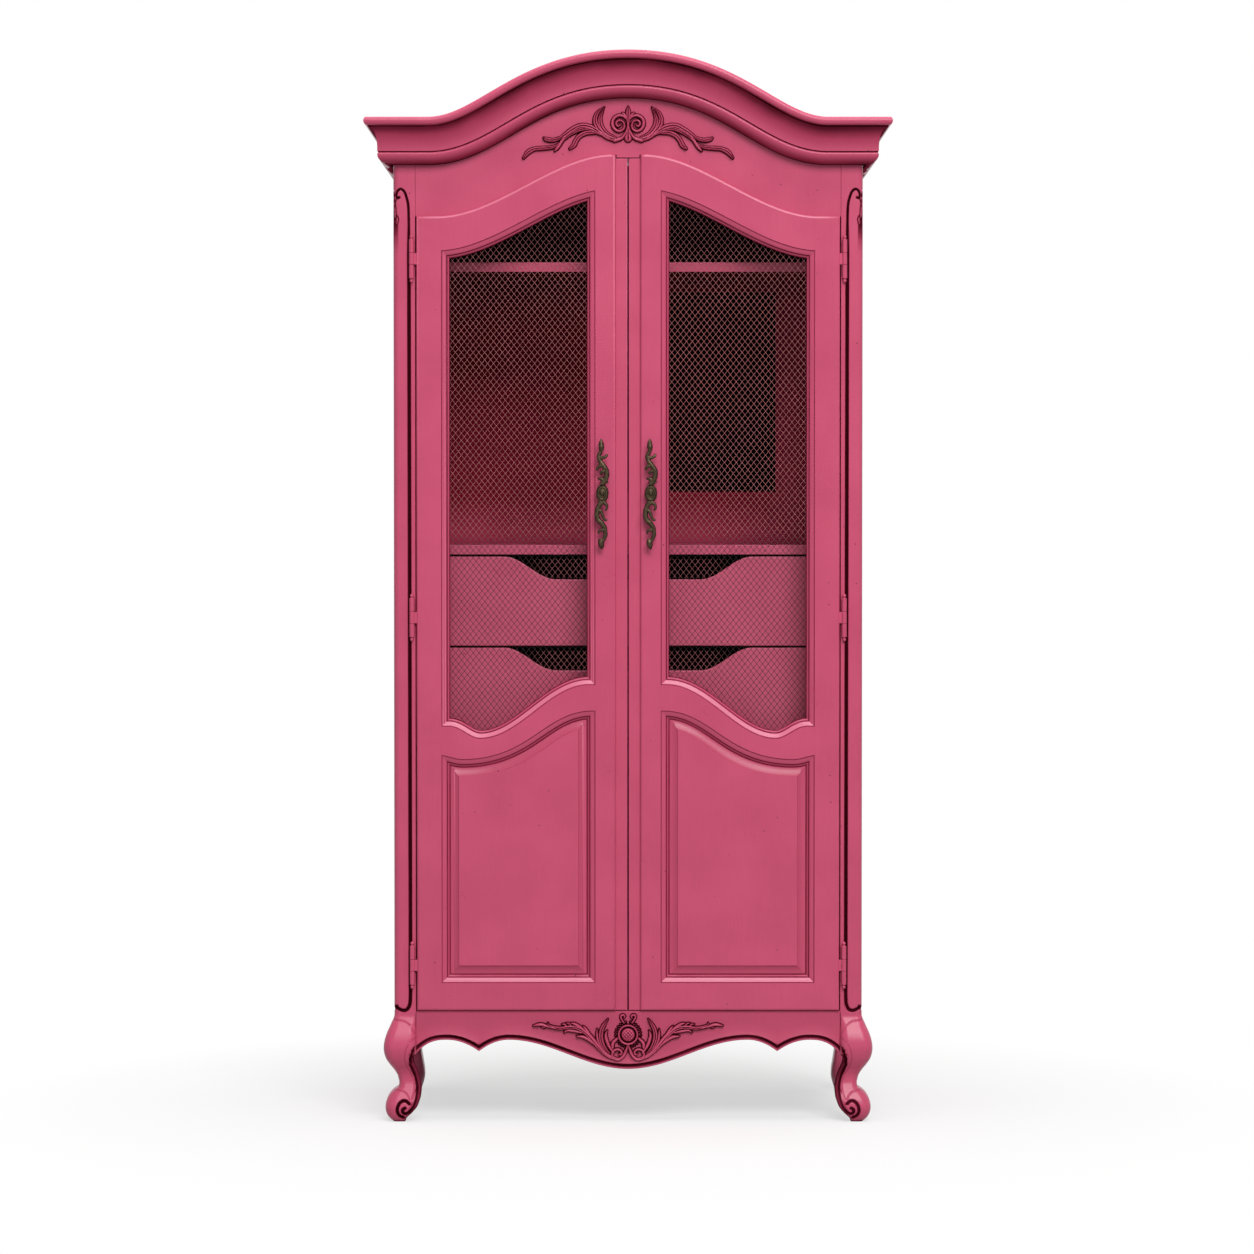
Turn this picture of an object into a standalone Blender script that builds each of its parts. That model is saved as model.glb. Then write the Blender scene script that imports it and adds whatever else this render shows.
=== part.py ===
"""Bonnet-top armoire with wire-mesh doors, as separate named pieces in metres, +Z up, front facing -Y."""
import math

import bmesh
import bpy
from mathutils import Matrix

# Case
BODY_WIDTH = 0.960
BODY_DEPTH = 0.540
FIT = 0.0003
BOARD = 0.020

# Cornice, measured outwards from the case and upwards from its lower edge
CORNICE_REACH = 0.057
CORNICE_HEIGHT = 0.101
CORNICE_TOP = 2.053
BONNET_RISE = 0.136
BONNET_HALF = 0.407
BONNET_SHOULDER_PULL = 0.102
BONNET_CROWN_PULL = 0.224
FRIEZE_DROP = 0.012
TOP_BOARD = 0.016

# Posts and cabriole legs
POST_WIDTH = 0.045
POST_DEPTH = 0.054
POST_ROUND = 0.012
POST_EASE = 0.001
BACK_POST_EASE = 0.003
LEG_WIDTH = 0.048
LEG_BLEND = 0.030
LEG_LEVEL_GAP = 0.026
LEG_HEIGHT = 0.228
QUIRK_WIDTH = 0.008
QUIRK_DEPTH = 0.004
QUIRK_INSET = 0.034
QUIRK_TOP = 1.905
QUIRK_LIFT = 0.012
QUIRK_RUNOUT = 0.014

# Share of the leg's height and how far its outer side stands out from the post there
LEG_OUTER = [
    (0.0000, 0.0010), (0.0351, 0.0100), (0.0789, 0.0162), (0.1316, 0.0185), (0.1886, 0.0164), (0.2368, 0.0110),
    (0.2785, 0.0022), (0.3070, -0.0072), (0.3553, -0.0093), (0.4123, -0.0060), (0.4649, 0.0010), (0.5175, 0.0098),
    (0.5746, 0.0175), (0.6491, 0.0217), (0.7237, 0.0204), (0.7982, 0.0154), (0.8772, 0.0073), (0.9474, 0.0006),
    (1.0, 0.0),
]
# Share of a front leg's height and the share of the leg's width at which its inner side lies there
LEG_INNER = [
    (0.0000, 0.47), (0.0351, 0.54), (0.0789, 0.76), (0.1316, 0.97), (0.1886, 1.08), (0.2368, 1.12),
    (0.2785, 1.135), (0.3070, 1.125), (0.3553, 1.085), (0.4123, 1.02), (0.4649, 0.935), (0.5175, 0.84),
    (0.5746, 0.81), (0.6096, 0.92), (0.6491, 1.0), (1.0, 1.0),
]
# The same for a back leg, which is slimmer on its inner side
BACK_LEG_INNER = [
    (0.0000, 0.66), (0.0789, 0.78), (0.1316, 0.825), (0.1886, 0.82), (0.2368, 0.79), (0.3070, 0.73),
    (0.3553, 0.69), (0.4123, 0.67), (0.4649, 0.70), (0.5175, 0.78), (0.5746, 0.89), (0.6491, 1.0),
    (1.0, 1.0),
]

# Doors
DOOR_THICK = 0.024
DOOR_PROUD = 0.008
DOOR_GAP = 0.0015
HINGE_GAP = 0.002
MEETING_GAP = 0.0024
DOOR_BOTTOM = 0.229
DOOR_SHOULDER = 1.853
DOOR_RISE = 0.126
DOOR_SHOULDER_AT = 0.389
DOOR_CREST_AT = 0.031
HINGE_STILE = 0.0512
MEETING_STILE = 0.0418
STRIP_WIDTH = 0.024
STRIP_STEP = 0.008
STRIP_DROP = 0.006
TOP_RAIL = 0.068
BOTTOM_RAIL = 0.057
MOULD_WIDTH = 0.0172
MOULD_DEPTH = 0.011
SEAT_DEPTH = 0.015
SEAT_LAP = 0.008
CURVE_STEPS = 16

# Middle rail: its upper edge and its lower edge, each from the hinge side to the meeting side
SILL_SHOULDER = (0.366, 0.812)
SILL_DIP = (0.3025, 0.787)
SILL_CREST = (0.080, 0.897)
PANEL_SHOULDER = (0.386, 0.7535)
PANEL_DIP = (0.339, 0.7452)
PANEL_CREST = (0.0724, 0.8446)
PANEL_DIP_PULL = 0.52
PANEL_CREST_PULL = 0.37
FIELD_MARGIN = 0.017

# Wire mesh
WIRE = 0.0024
MESH_PITCH = 0.073
MESH_SLOPE = 1.3
MESH_LINES = 14
MESH_SHORT = 0.17 * MESH_PITCH
MESH_MERGE = 0.1 * MESH_PITCH

# Hinges
HINGE_AXIS_OUT = 0.0075
HINGE_RADIUS = 0.005
HINGE_PIN = 0.0023
HINGE_PLAY = 0.00006
HINGE_LENGTH = 0.080
HINGE_FINIAL = 0.009
HINGE_HEIGHTS = {"top": 1.768, "middle": 1.035, "bottom": 0.322}
LEAF = 0.002
LEAF_INSET = 0.0005
POST_LEAF_DEPTH = 0.022
DOOR_LEAF_REACH = 0.022
HINGE_SIDES = 10

# Handles
HANDLE_AT = {"left": 0.053, "right": 0.046}
HANDLE_HEIGHT = 1.289
HANDLE_STAND = 0.017
HANDLE_POST_RADIUS = 0.0042

# Apron
APRON_ARCH = 0.168
APRON_CUSP = 0.1445
APRON_CENTRE = 0.108
APRON_END = 0.140
APRON_END_BEND = 2.6
APRON_OUTER_ARCH_AT = 0.372
APRON_CUSP_AT = 0.306
APRON_INNER_ARCH_AT = 0.245
SIDE_APRON_DROP = 0.036

# Inside
SIDE_PANEL = 0.018
SIDE_RECESS = 0.010
BACK_PANEL = 0.008
BACK_RECESS = 0.006
COVER = 0.004
COVER_LAP = 0.020
CUT_LEFT = -0.077
CUT_RIGHT = 0.319
CUT_LOW = 1.295
CUT_HIGH = 1.726
SHELF_SETBACK = 0.086
UPPER_SHELF = 1.746
LOWER_SHELF = 1.163
SHELF_HOUSING = 0.006
DRAWER_HEIGHT = 0.1845
DRAWER_GAP = 0.004
DRAWER_FRONT = 0.018
DRAWER_SIDE = 0.012
DRAWER_BOTTOM = 0.006
DRAWER_CLEAR = 0.002
DRAWER_BACK_CLEAR = 0.020
LEDGE_WIDTH = 0.014
LEDGE_HEIGHT = 0.012
LEDGE_LIFT = 0.006
SCOOP_HALF = 0.256
SCOOP_FLAT = 0.150
SCOOP_DEPTH = 0.047

# Carved sprays
FRIEZE_SPRAY_HEIGHT = 2.030
APRON_SPRAY_HEIGHT = 0.179
CARVING_RELIEF = 0.0035
SPRAY_REACH = 0.240

# Derived planes
HALF = BODY_WIDTH / 2
FRONT = (CORNICE_REACH + FIT - BODY_DEPTH) / 2
BACK = FRONT + BODY_DEPTH
POST_INNER = HALF - POST_WIDTH
POST_TOP = CORNICE_TOP - TOP_BOARD - 2 * FIT
QUIRK_FOOT = LEG_HEIGHT + QUIRK_LIFT
DOOR_FACE = FRONT - DOOR_PROUD
DOOR_REAR = DOOR_FACE + DOOR_THICK
DOOR_OUTER = POST_INNER - HINGE_GAP
DOOR_INNER = MEETING_GAP / 2
STRIP_EDGE = DOOR_INNER + STRIP_WIDTH
HINGE_EDGE = DOOR_OUTER - HINGE_STILE
MEETING_EDGE = STRIP_EDGE + MEETING_STILE
MITRE_REACH = 1.5 * MOULD_WIDTH
MITRE_GAP = 0.65 * FIT
HINGE_X = POST_INNER + HINGE_AXIS_OUT
HINGE_Y = FRONT - HINGE_RADIUS - FIT
KNUCKLE = HINGE_LENGTH * 0.3
HINGE_BORE = (HINGE_PIN + HINGE_PLAY) / math.cos(math.pi / HINGE_SIDES)
SIDE_OUTER = HALF - SIDE_RECESS
SIDE_INNER = SIDE_OUTER - SIDE_PANEL
BACK_FACE = BACK - BACK_RECESS - COVER - BACK_PANEL
SHELF_FRONT = FRONT + SHELF_SETBACK
UPPER_DRAWER = LOWER_SHELF - DRAWER_GAP - DRAWER_HEIGHT
LOWER_DRAWER = UPPER_DRAWER - DRAWER_GAP - DRAWER_HEIGHT
DRAWER_HALF = POST_INNER - DRAWER_CLEAR
BOTTOM_TOP = DOOR_BOTTOM - DOOR_GAP
APRON_TOP = BOTTOM_TOP

# How far a cutter reaches past what it cuts, and a height above everything
BEYOND = 0.020
OVERHEAD = CORNICE_TOP + BONNET_RISE + BEYOND

PART_NAME = "bonnet_armoire"


def clear_scene():
    for item in list(bpy.data.objects):
        bpy.data.objects.remove(item, do_unlink=True)
    for item in list(bpy.data.collections):
        bpy.data.collections.remove(item)


clear_scene()
PARTS = bpy.data.collections.new(PART_NAME)
CUTTERS = bpy.data.collections.new("cutters")
bpy.context.scene.collection.children.link(PARTS)
bpy.context.scene.collection.children.link(CUTTERS)


def paint(name, colour, metallic=0.0, roughness=0.5):
    made = bpy.data.materials.new(name)
    made.use_nodes = True
    shader = made.node_tree.nodes["Principled BSDF"]
    shader.inputs["Base Color"].default_value = (*colour, 1.0)
    shader.inputs["Metallic"].default_value = metallic
    shader.inputs["Roughness"].default_value = roughness
    return made


PINK = ("pink paint", (0.56, 0.09, 0.17), 0.0, 0.45)
MAROON = ("maroon paint", (0.20, 0.03, 0.05), 0.0, 0.6)
BLACK = ("black board", (0.01, 0.01, 0.01), 0.0, 0.6)
RAW_WOOD = ("raw wood", (0.45, 0.30, 0.17), 0.0, 0.6)
STEEL = ("steel", (0.50, 0.50, 0.50), 1.0, 0.35)
BRONZE = ("dark bronze", (0.06, 0.05, 0.045), 0.8, 0.4)
WIRE_FINISH = ("wire", (0.40, 0.28, 0.25), 0.6, 0.4)


def new_object(name, data):
    made = bpy.data.objects.new(name, data)
    CUTTERS.objects.link(made)
    made.hide_render = True
    made.display_type = "WIRE"
    return made


def shown(item, name, finish):
    """Moves a finished body from the cutters to the parts and gives it its own material."""
    item.hide_render = False
    item.display_type = "TEXTURED"
    item.name = name
    item.data.name = name
    item.data.materials.clear()
    item.data.materials.append(paint(f"{name} {finish[0]}", *finish[1:]))
    CUTTERS.objects.unlink(item)
    PARTS.objects.link(item)
    return item


def tidy(mesh):
    work = bmesh.new()
    work.from_mesh(mesh)
    bmesh.ops.remove_doubles(work, verts=work.verts, dist=0.00001)
    bmesh.ops.recalc_face_normals(work, faces=work.faces)
    work.to_mesh(mesh)
    work.free()


def box(name, x_range, y_range, z_range):
    mesh = bpy.data.meshes.new(name)
    sizes = [abs(high - low) for low, high in (x_range, y_range, z_range)]
    middles = [(high + low) / 2 for low, high in (x_range, y_range, z_range)]
    work = bmesh.new()
    place = Matrix.Translation(middles) @ Matrix.Diagonal((*sizes, 1.0))
    bmesh.ops.create_cube(work, size=1.0, matrix=place)
    work.to_mesh(mesh)
    work.free()
    return new_object(name, mesh)


def outline_solid(name, outline, thickness, matrix):
    """A flat outline filled and thickened as a 2D curve, then turned into place."""
    curve = bpy.data.curves.new(name, "CURVE")
    curve.dimensions = "2D"
    curve.fill_mode = "BOTH"
    curve.extrude = thickness / 2
    spline = curve.splines.new("POLY")
    spline.points.add(len(outline) - 1)
    for point, (across, along) in zip(spline.points, outline):
        point.co = (across, along, 0.0, 1.0)
    spline.use_cyclic_u = True
    return curve_solid(name, curve, matrix)


def curve_solid(name, curve, matrix):
    holder = bpy.data.objects.new(name, curve)
    bpy.context.scene.collection.objects.link(holder)
    graph = bpy.context.evaluated_depsgraph_get()
    mesh = bpy.data.meshes.new_from_object(holder.evaluated_get(graph))
    bpy.data.objects.remove(holder)
    mesh.transform(matrix)
    tidy(mesh)
    return new_object(name, mesh)


def facing(name, outline, y_front, y_back):
    """An outline in X and Z, thick along Y."""
    turn = Matrix(((1, 0, 0, 0), (0, 0, -1, (y_front + y_back) / 2), (0, 1, 0, 0), (0, 0, 0, 1)))
    return outline_solid(name, outline, y_back - y_front, turn)


def lying(name, outline, z_low, z_high):
    """An outline in X and Y, thick along Z."""
    return outline_solid(name, outline, z_high - z_low, Matrix.Translation((0, 0, (z_low + z_high) / 2)))


def sideways(name, outline, x_low, x_high):
    """An outline in Y and Z, thick along X."""
    turn = Matrix(((0, 0, 1, (x_low + x_high) / 2), (1, 0, 0, 0), (0, 1, 0, 0), (0, 0, 0, 1)))
    return outline_solid(name, outline, x_high - x_low, turn)


def loft(name, sections):
    """Rings of equal count joined in order and closed at both ends."""
    mesh = bpy.data.meshes.new(name)
    work = bmesh.new()
    rings = [[work.verts.new(point) for point in section] for section in sections]
    for lower, upper in zip(rings, rings[1:]):
        for near, far in zip(range(len(lower)), [*range(1, len(lower)), 0]):
            work.faces.new((lower[near], lower[far], upper[far], upper[near]))
    work.faces.new(rings[0])
    work.faces.new(rings[-1])
    bmesh.ops.recalc_face_normals(work, faces=work.faces)
    work.to_mesh(mesh)
    work.free()
    return new_object(name, mesh)


def turned(name, profile, closed, sides, at):
    """A profile of (radius, height) points turned about its own upright axis."""
    mesh = bpy.data.meshes.new(name)
    edges = [(index, index + 1) for index in range(len(profile) - 1)]
    if closed:
        edges.append((len(profile) - 1, 0))
    mesh.from_pydata([(radius, 0.0, height) for radius, height in profile], edges, [])
    made = new_object(name, mesh)
    made.location = at
    screw = made.modifiers.new("turn", "SCREW")
    screw.steps = sides
    screw.render_steps = sides
    screw.use_merge_vertices = True
    screw.merge_threshold = 0.00001
    screw.use_normal_calculate = True
    return made


def combine(target, other, operation, own_overlaps=False):
    change = target.modifiers.new(f"{operation.lower()} {other.name}", "BOOLEAN")
    change.operation = operation
    change.object = other
    change.solver = "EXACT"
    change.use_self = own_overlaps
    return target


def cut(target, *others):
    for other in others:
        combine(target, other, "DIFFERENCE")
    return target


def fuse(target, *others):
    for other in others:
        combine(target, other, "UNION")
    return target


def spaced(start, end, count):
    return [start + (end - start) * index / count for index in range(count + 1)]


def cubic(share, first, second, third, fourth):
    rest = 1.0 - share
    return (rest ** 3 * first + 3 * rest * rest * share * second
            + 3 * rest * share * share * third + share ** 3 * fourth)


def ogee(at, start, end, start_pull=0.36, end_pull=0.36):
    """Height of an S-curve that is level at both of its ends."""
    share = (at - start[0]) / (end[0] - start[0])
    if share <= 0.0:
        return start[1]
    if share >= 1.0:
        return end[1]
    low, high = 0.0, 1.0
    for _ in range(40):
        middle = (low + high) / 2
        if cubic(middle, 0.0, start_pull, 1.0 - end_pull, 1.0) < share:
            low = middle
        else:
            high = middle
    return start[1] + (end[1] - start[1]) * (3 * low * low - 2 * low ** 3)


def through(keys, at):
    """A smooth value through (position, value) keys."""
    if at <= keys[0][0]:
        return keys[0][1]
    for index in range(len(keys) - 1):
        (start, first), (end, last) = keys[index], keys[index + 1]
        if at <= end:
            before, after = keys[max(index - 1, 0)], keys[min(index + 2, len(keys) - 1)]
            span = end - start
            share = (at - start) / span
            lead = (last - before[1]) / (end - before[0]) * span
            trail = (after[1] - first) / (after[0] - start) * span
            return cubic(share, first, first + lead / 3, last - trail / 3, last)
    return keys[-1][1]


def mirrored(side, outline):
    return [(side * across, along) for across, along in outline]


# Curves of the front
def door_top(at):
    crest = (DOOR_CREST_AT, DOOR_SHOULDER + DOOR_RISE)
    return ogee(at, (DOOR_SHOULDER_AT, DOOR_SHOULDER), crest, 1 / 3, 1 / 3)


def mesh_head(at):
    return door_top(at) - TOP_RAIL


def mesh_sill(at):
    if at > SILL_DIP[0]:
        return ogee(at, SILL_DIP, SILL_SHOULDER)
    return ogee(at, SILL_DIP, SILL_CREST)


def panel_head(at):
    if at > PANEL_DIP[0]:
        return ogee(at, PANEL_DIP, PANEL_SHOULDER)
    return ogee(at, PANEL_DIP, PANEL_CREST, PANEL_DIP_PULL, PANEL_CREST_PULL)


def panel_sill(at):
    return DOOR_BOTTOM + BOTTOM_RAIL


def apron_edge(at):
    if at < APRON_INNER_ARCH_AT:
        return ogee(at, (0.0, APRON_CENTRE), (APRON_INNER_ARCH_AT, APRON_ARCH))
    arch_at = APRON_INNER_ARCH_AT if at < APRON_CUSP_AT else APRON_OUTER_ARCH_AT
    if at < APRON_OUTER_ARCH_AT:
        return APRON_ARCH - (APRON_ARCH - APRON_CUSP) * ((at - arch_at) / (APRON_CUSP_AT - arch_at)) ** 2
    reach = (at - arch_at) / (POST_INNER - arch_at)
    return APRON_ARCH - (APRON_ARCH - APRON_END) * reach ** APRON_END_BEND


def bonnet_point(share):
    """Distance from the middle and height of the bonnet's top edge, from shoulder at 0 to crown at 1."""
    at = cubic(share, BONNET_HALF, BONNET_HALF - BONNET_SHOULDER_PULL, BONNET_CROWN_PULL, 0.0)
    return at, CORNICE_TOP + BONNET_RISE * (3 * share ** 2 - 2 * share ** 3)


def bonnet_path(drop, count):
    """Points along one half of the bonnet, lowered square to the curve by drop, from crown to shoulder."""
    points = []
    for share in spaced(1.0, 0.0, count):
        at, height = bonnet_point(share)
        near = bonnet_point(max(share - 0.001, 0.0))
        far = bonnet_point(min(share + 0.001, 1.0))
        run, climb = far[0] - near[0], far[1] - near[1]
        length = math.hypot(run, climb)
        points.append((at - climb / length * drop, height + run / length * drop))
    return points


# Posts with cabriole legs
def corner(centre, radius, start, count):
    return [(centre[0] + radius * math.cos(math.radians(start + 90 * index / (count - 1))),
             centre[1] + radius * math.sin(math.radians(start + 90 * index / (count - 1))))
            for index in range(count)]


def post_section(z, outer, inner, fore, rear, rounds, quirk):
    """One level of a post in its own plan: outer and inner along X, fore and rear along Y, as distances."""
    inner_round, outer_round = rounds
    inner_fore = [(across, 2 * (fore + inner_round) - along) for across, along
                  in corner((inner - inner_round, fore + inner_round), inner_round, 0, 3)]
    middle = min(outer + QUIRK_INSET, inner - inner_round - QUIRK_WIDTH / 2 - POST_EASE)
    groove = [(middle + QUIRK_WIDTH / 2, fore), (middle, fore + quirk), (middle - QUIRK_WIDTH / 2, fore)]
    outer_corner = corner((outer + outer_round, fore + outer_round), outer_round, 180, 5)[::-1]
    side_middle = min(fore + QUIRK_INSET, rear - inner_round - QUIRK_WIDTH / 2 - POST_EASE)
    side_groove = [(outer, side_middle - QUIRK_WIDTH / 2), (outer + quirk, side_middle),
                   (outer, side_middle + QUIRK_WIDTH / 2)]
    outer_rear = corner((outer + inner_round, rear - inner_round), inner_round, 90, 3)[::-1]
    inner_rear = corner((inner - inner_round, rear - inner_round), inner_round, 0, 3)[::-1]
    ring = inner_fore + groove + outer_corner + side_groove + outer_rear + inner_rear
    return [(across, along, z) for across, along in ring]


def leg_levels():
    heights = {height for height, _ in LEG_OUTER} | {height for height, _ in LEG_INNER}
    kept = []
    for height in sorted(heights):
        if not kept or height - kept[-1] > LEG_LEVEL_GAP:
            kept.append(height)
    return kept


def post(name, side, front):
    """A post whose leg has the same outline from the front and, for a front post, from the side."""
    sections = []
    for height in leg_levels():
        z = LEG_HEIGHT * height
        outer = -through(LEG_OUTER, height)
        share = through(LEG_INNER, height)
        if z >= APRON_END:
            share = min(1.0, share)
        inner = LEG_WIDTH * (share if front else through(BACK_LEG_INNER, height))
        if z >= APRON_END:
            inner = min(POST_WIDTH, inner)
        fore = outer if front else 0.0
        rear = POST_DEPTH * share
        soft = min(1.0, (LEG_HEIGHT - z) / LEG_BLEND)
        width = inner - outer
        rounds = (POST_EASE + soft * (0.24 * width - POST_EASE),
                  POST_ROUND + soft * (0.32 * width - POST_ROUND))
        if not front:
            rounds = (rounds[0], BACK_POST_EASE + soft * 0.2 * width)
        sections.append(post_section(z, outer, inner, fore, rear, rounds, 0.0))
    levels = [(QUIRK_FOOT, 0.0), (QUIRK_FOOT + QUIRK_RUNOUT, QUIRK_DEPTH),
              (QUIRK_TOP - QUIRK_RUNOUT, QUIRK_DEPTH), (QUIRK_TOP, 0.0), (POST_TOP, 0.0)]
    if not front:
        levels = [(POST_TOP, 0.0)]
    for z, quirk in levels:
        rounds = (POST_EASE, POST_ROUND if front else BACK_POST_EASE)
        sections.append(post_section(z, 0.0, POST_WIDTH, 0.0, POST_DEPTH, rounds, quirk))
    placed = []
    for section in sections:
        placed.append([(side * (HALF - across), FRONT + along if front else BACK - along, z)
                       for across, along, z in section])
    made = loft(name, placed)
    if front:
        for place, height in HINGE_HEIGHTS.items():
            slot_half = LEAF / 2 + FIT
            slot_reach = HINGE_LENGTH / 2 + FIT
            cut(made, box(f"{name} {place} slot",
                          (side * (HINGE_X - slot_half), side * (HINGE_X + slot_half)),
                          (FRONT - HINGE_RADIUS, FRONT + POST_LEAF_DEPTH + FIT),
                          (height - slot_reach, height + slot_reach)))
    return shown(made, name, PINK)


def posts():
    for side, word in ((-1, "left"), (1, "right")):
        post(f"front_{word}_post", side, True)
        post(f"back_{word}_post", side, False)


# Cornice and frieze
def cornice_profile():
    """Section of the cornice as (reach, height), from its inner lower corner over the face to its top."""
    reach, height = CORNICE_REACH, CORNICE_HEIGHT
    face = [(0.09, 0.0), (0.15, 0.02)]
    face += [(0.15 + 0.38 * math.sin(math.radians(turn)), 0.20 - 0.18 * math.cos(math.radians(turn)))
             for turn in (30, 60, 90)]
    face += [(0.50, 0.245), (0.46, 0.267), (0.53, 0.287)]
    face += [(0.53 + 0.29 * (1 - math.cos(math.radians(turn))),
              0.287 + 0.465 * math.sin(math.radians(turn)) ** 0.8)
             for turn in (25, 45, 65, 90)]
    face += [(0.86, 0.772), (0.87, 0.80), (0.96, 0.83), (1.0, 0.89), (0.99, 0.95), (0.94, 1.0)]
    return [(0.0, 0.0)] + [(reach * out, height * up) for out, up in face] + [(0.0, height)]


def cornice():
    profile = cornice_profile()
    face = FRONT - FIT
    corner_at = HALF + FIT
    count = 12
    lanes = [bonnet_path(CORNICE_HEIGHT - up, count) for _, up in profile]
    right = [[(lane[step][0], face - out, lane[step][1]) for lane, (out, _) in zip(lanes, profile)]
             for step in range(count + 1)]
    low = CORNICE_TOP - CORNICE_HEIGHT
    right.append([(corner_at + out - FIT, face - out, low + up) for out, up in profile])
    left = [[(-x, y, z) for x, y, z in section] for section in right[:0:-1]]
    shown(loft("cornice_front", left + right), "cornice_front", PINK)
    for side, word in ((-1, "left"), (1, "right")):
        mitre = [(side * (corner_at + out), face - out, low + up) for out, up in profile]
        mitre[0], mitre[-1] = [(x, face, z) for x, _, z in (mitre[0], mitre[-1])]
        square = [(side * (corner_at + out), BACK, low + up) for out, up in profile]
        shown(loft(f"cornice_{word}_return", [mitre, square]), f"cornice_{word}_return", PINK)


def frieze_low(at):
    tongue = STRIP_DROP if at < STRIP_EDGE - DOOR_GAP else 0.0
    return door_top(at) + DOOR_GAP - tongue


def frieze():
    edge = POST_INNER - FIT
    top = bonnet_path(FRIEZE_DROP, 12) + [(edge, CORNICE_TOP - FRIEZE_DROP)]
    step = STRIP_EDGE - DOOR_GAP
    low = [(0.0, frieze_low(0.0)), (step, frieze_low(0.0)), (step, frieze_low(step))]
    low += [(at, frieze_low(at)) for at in spaced(DOOR_CREST_AT, DOOR_SHOULDER_AT, CURVE_STEPS)]
    low += [(edge, frieze_low(edge))]
    half = low + top[::-1]
    outline = half + [(-x, z) for x, z in half[::-1] if x > 0.0]
    shown(facing("frieze_board", outline, FRONT, FRONT + BOARD), "frieze_board", PINK)


def apron():
    edge = POST_INNER - FIT
    ats = spaced(0.0, APRON_INNER_ARCH_AT, 12) + spaced(APRON_INNER_ARCH_AT, APRON_CUSP_AT, 5)[1:]
    ats += spaced(APRON_CUSP_AT, APRON_OUTER_ARCH_AT, 5)[1:] + spaced(APRON_OUTER_ARCH_AT, edge, 4)[1:]
    half = [(at, apron_edge(at)) for at in ats] + [(edge, APRON_TOP)]
    outline = half + [(-x, z) for x, z in half[::-1] if x > 0.0]
    shown(facing("front_apron", outline, FRONT, FRONT + BOARD), "front_apron", PINK)


# Carved sprays: each stroke is a row of (distance from the centre, height, radius)
FRIEZE_STROKES = [
    [(0.012, -0.019, 0.004), (0.034, -0.017, 0.005), (0.055, -0.004, 0.006), (0.067, 0.012, 0.0065),
     (0.066, 0.028, 0.006), (0.050, 0.046, 0.0015)],
    [(0.046, -0.014, 0.004), (0.072, -0.003, 0.005), (0.090, 0.006, 0.0055), (0.110, 0.001, 0.006),
     (0.130, -0.013, 0.006), (0.150, -0.033, 0.0065), (0.179, -0.042, 0.0055), (0.213, -0.055, 0.0015)],
    [(0.129, -0.012, 0.004), (0.145, -0.019, 0.005), (0.161, -0.022, 0.005), (0.173, -0.017, 0.0015)],
    [(0.069, -0.009, 0.004), (0.095, -0.005, 0.0055), (0.107, -0.016, 0.0055), (0.115, -0.033, 0.0015)],
    [(0.001, 0.001, 0.004), (0.003, 0.021, 0.004), (0.017, 0.030, 0.0045), (0.031, 0.018, 0.005),
     (0.024, 0.005, 0.005), (0.012, 0.010, 0.004), (0.018, 0.018, 0.003)],
]
FRIEZE_CENTRE_STROKES = [
    [(0.0, 0.010, 0.005), (0.0, 0.028, 0.0095), (0.0, 0.040, 0.006), (0.0, 0.047, 0.0015)],
    [(0.0, 0.008, 0.004), (0.0, -0.006, 0.006), (0.0, -0.015, 0.008), (0.0, -0.024, 0.0015)],
    [(0.015, -0.019, 0.004), (0.0, -0.014, 0.005), (-0.015, -0.019, 0.004)],
]
APRON_STROKES = [
    [(0.194, 0.018, 0.0015), (0.170, 0.017, 0.005), (0.140, 0.010, 0.006), (0.102, 0.004, 0.006),
     (0.077, -0.012, 0.006), (0.055, -0.034, 0.006), (0.033, -0.049, 0.0055), (0.017, -0.043, 0.0055),
     (0.015, -0.030, 0.005), (0.023, -0.031, 0.0035)],
    [(0.044, 0.031, 0.0015), (0.052, 0.007, 0.006), (0.051, -0.020, 0.0065), (0.036, -0.044, 0.004)],
    [(0.129, 0.023, 0.0015), (0.102, 0.009, 0.0055), (0.077, -0.009, 0.004)],
    [(0.093, 0.018, 0.0015), (0.073, 0.000, 0.005), (0.064, -0.022, 0.004)],
    [(0.020, 0.028, 0.003), (0.013, 0.034, 0.0045), (0.007, 0.028, 0.0045), (0.010, 0.018, 0.004)],
    [(0.008, -0.016, 0.004), (0.012, -0.026, 0.0045), (0.014, -0.034, 0.0035)],
]


def stroke_curve(name, strokes, roundness):
    curve = bpy.data.curves.new(name, "CURVE")
    curve.dimensions = "3D"
    curve.bevel_depth = 1.0
    curve.bevel_resolution = roundness
    curve.resolution_u = 2
    curve.use_fill_caps = True
    for stroke in strokes:
        spline = curve.splines.new("BEZIER")
        spline.bezier_points.add(len(stroke) - 1)
        for point, (across, up, radius) in zip(spline.bezier_points, stroke):
            point.co = (across, 0.0, up)
            point.radius = radius
            point.handle_left_type = "AUTO"
            point.handle_right_type = "AUTO"
    return curve


def carving(name, height, strokes, centre_strokes, reach):
    both = strokes + [[(-across, up, radius) for across, up, radius in stroke] for stroke in strokes]
    lay = Matrix.Translation((0, FRONT - CARVING_RELIEF * 0.6, height))
    made = curve_solid(name, stroke_curve(name, both + centre_strokes, 0), lay)
    keep = box(f"{name} front", (-reach, reach), (FRONT - reach, FRONT - FIT),
               (height - reach, height + reach))
    combine(made, keep, "INTERSECT", True)
    return made


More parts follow.
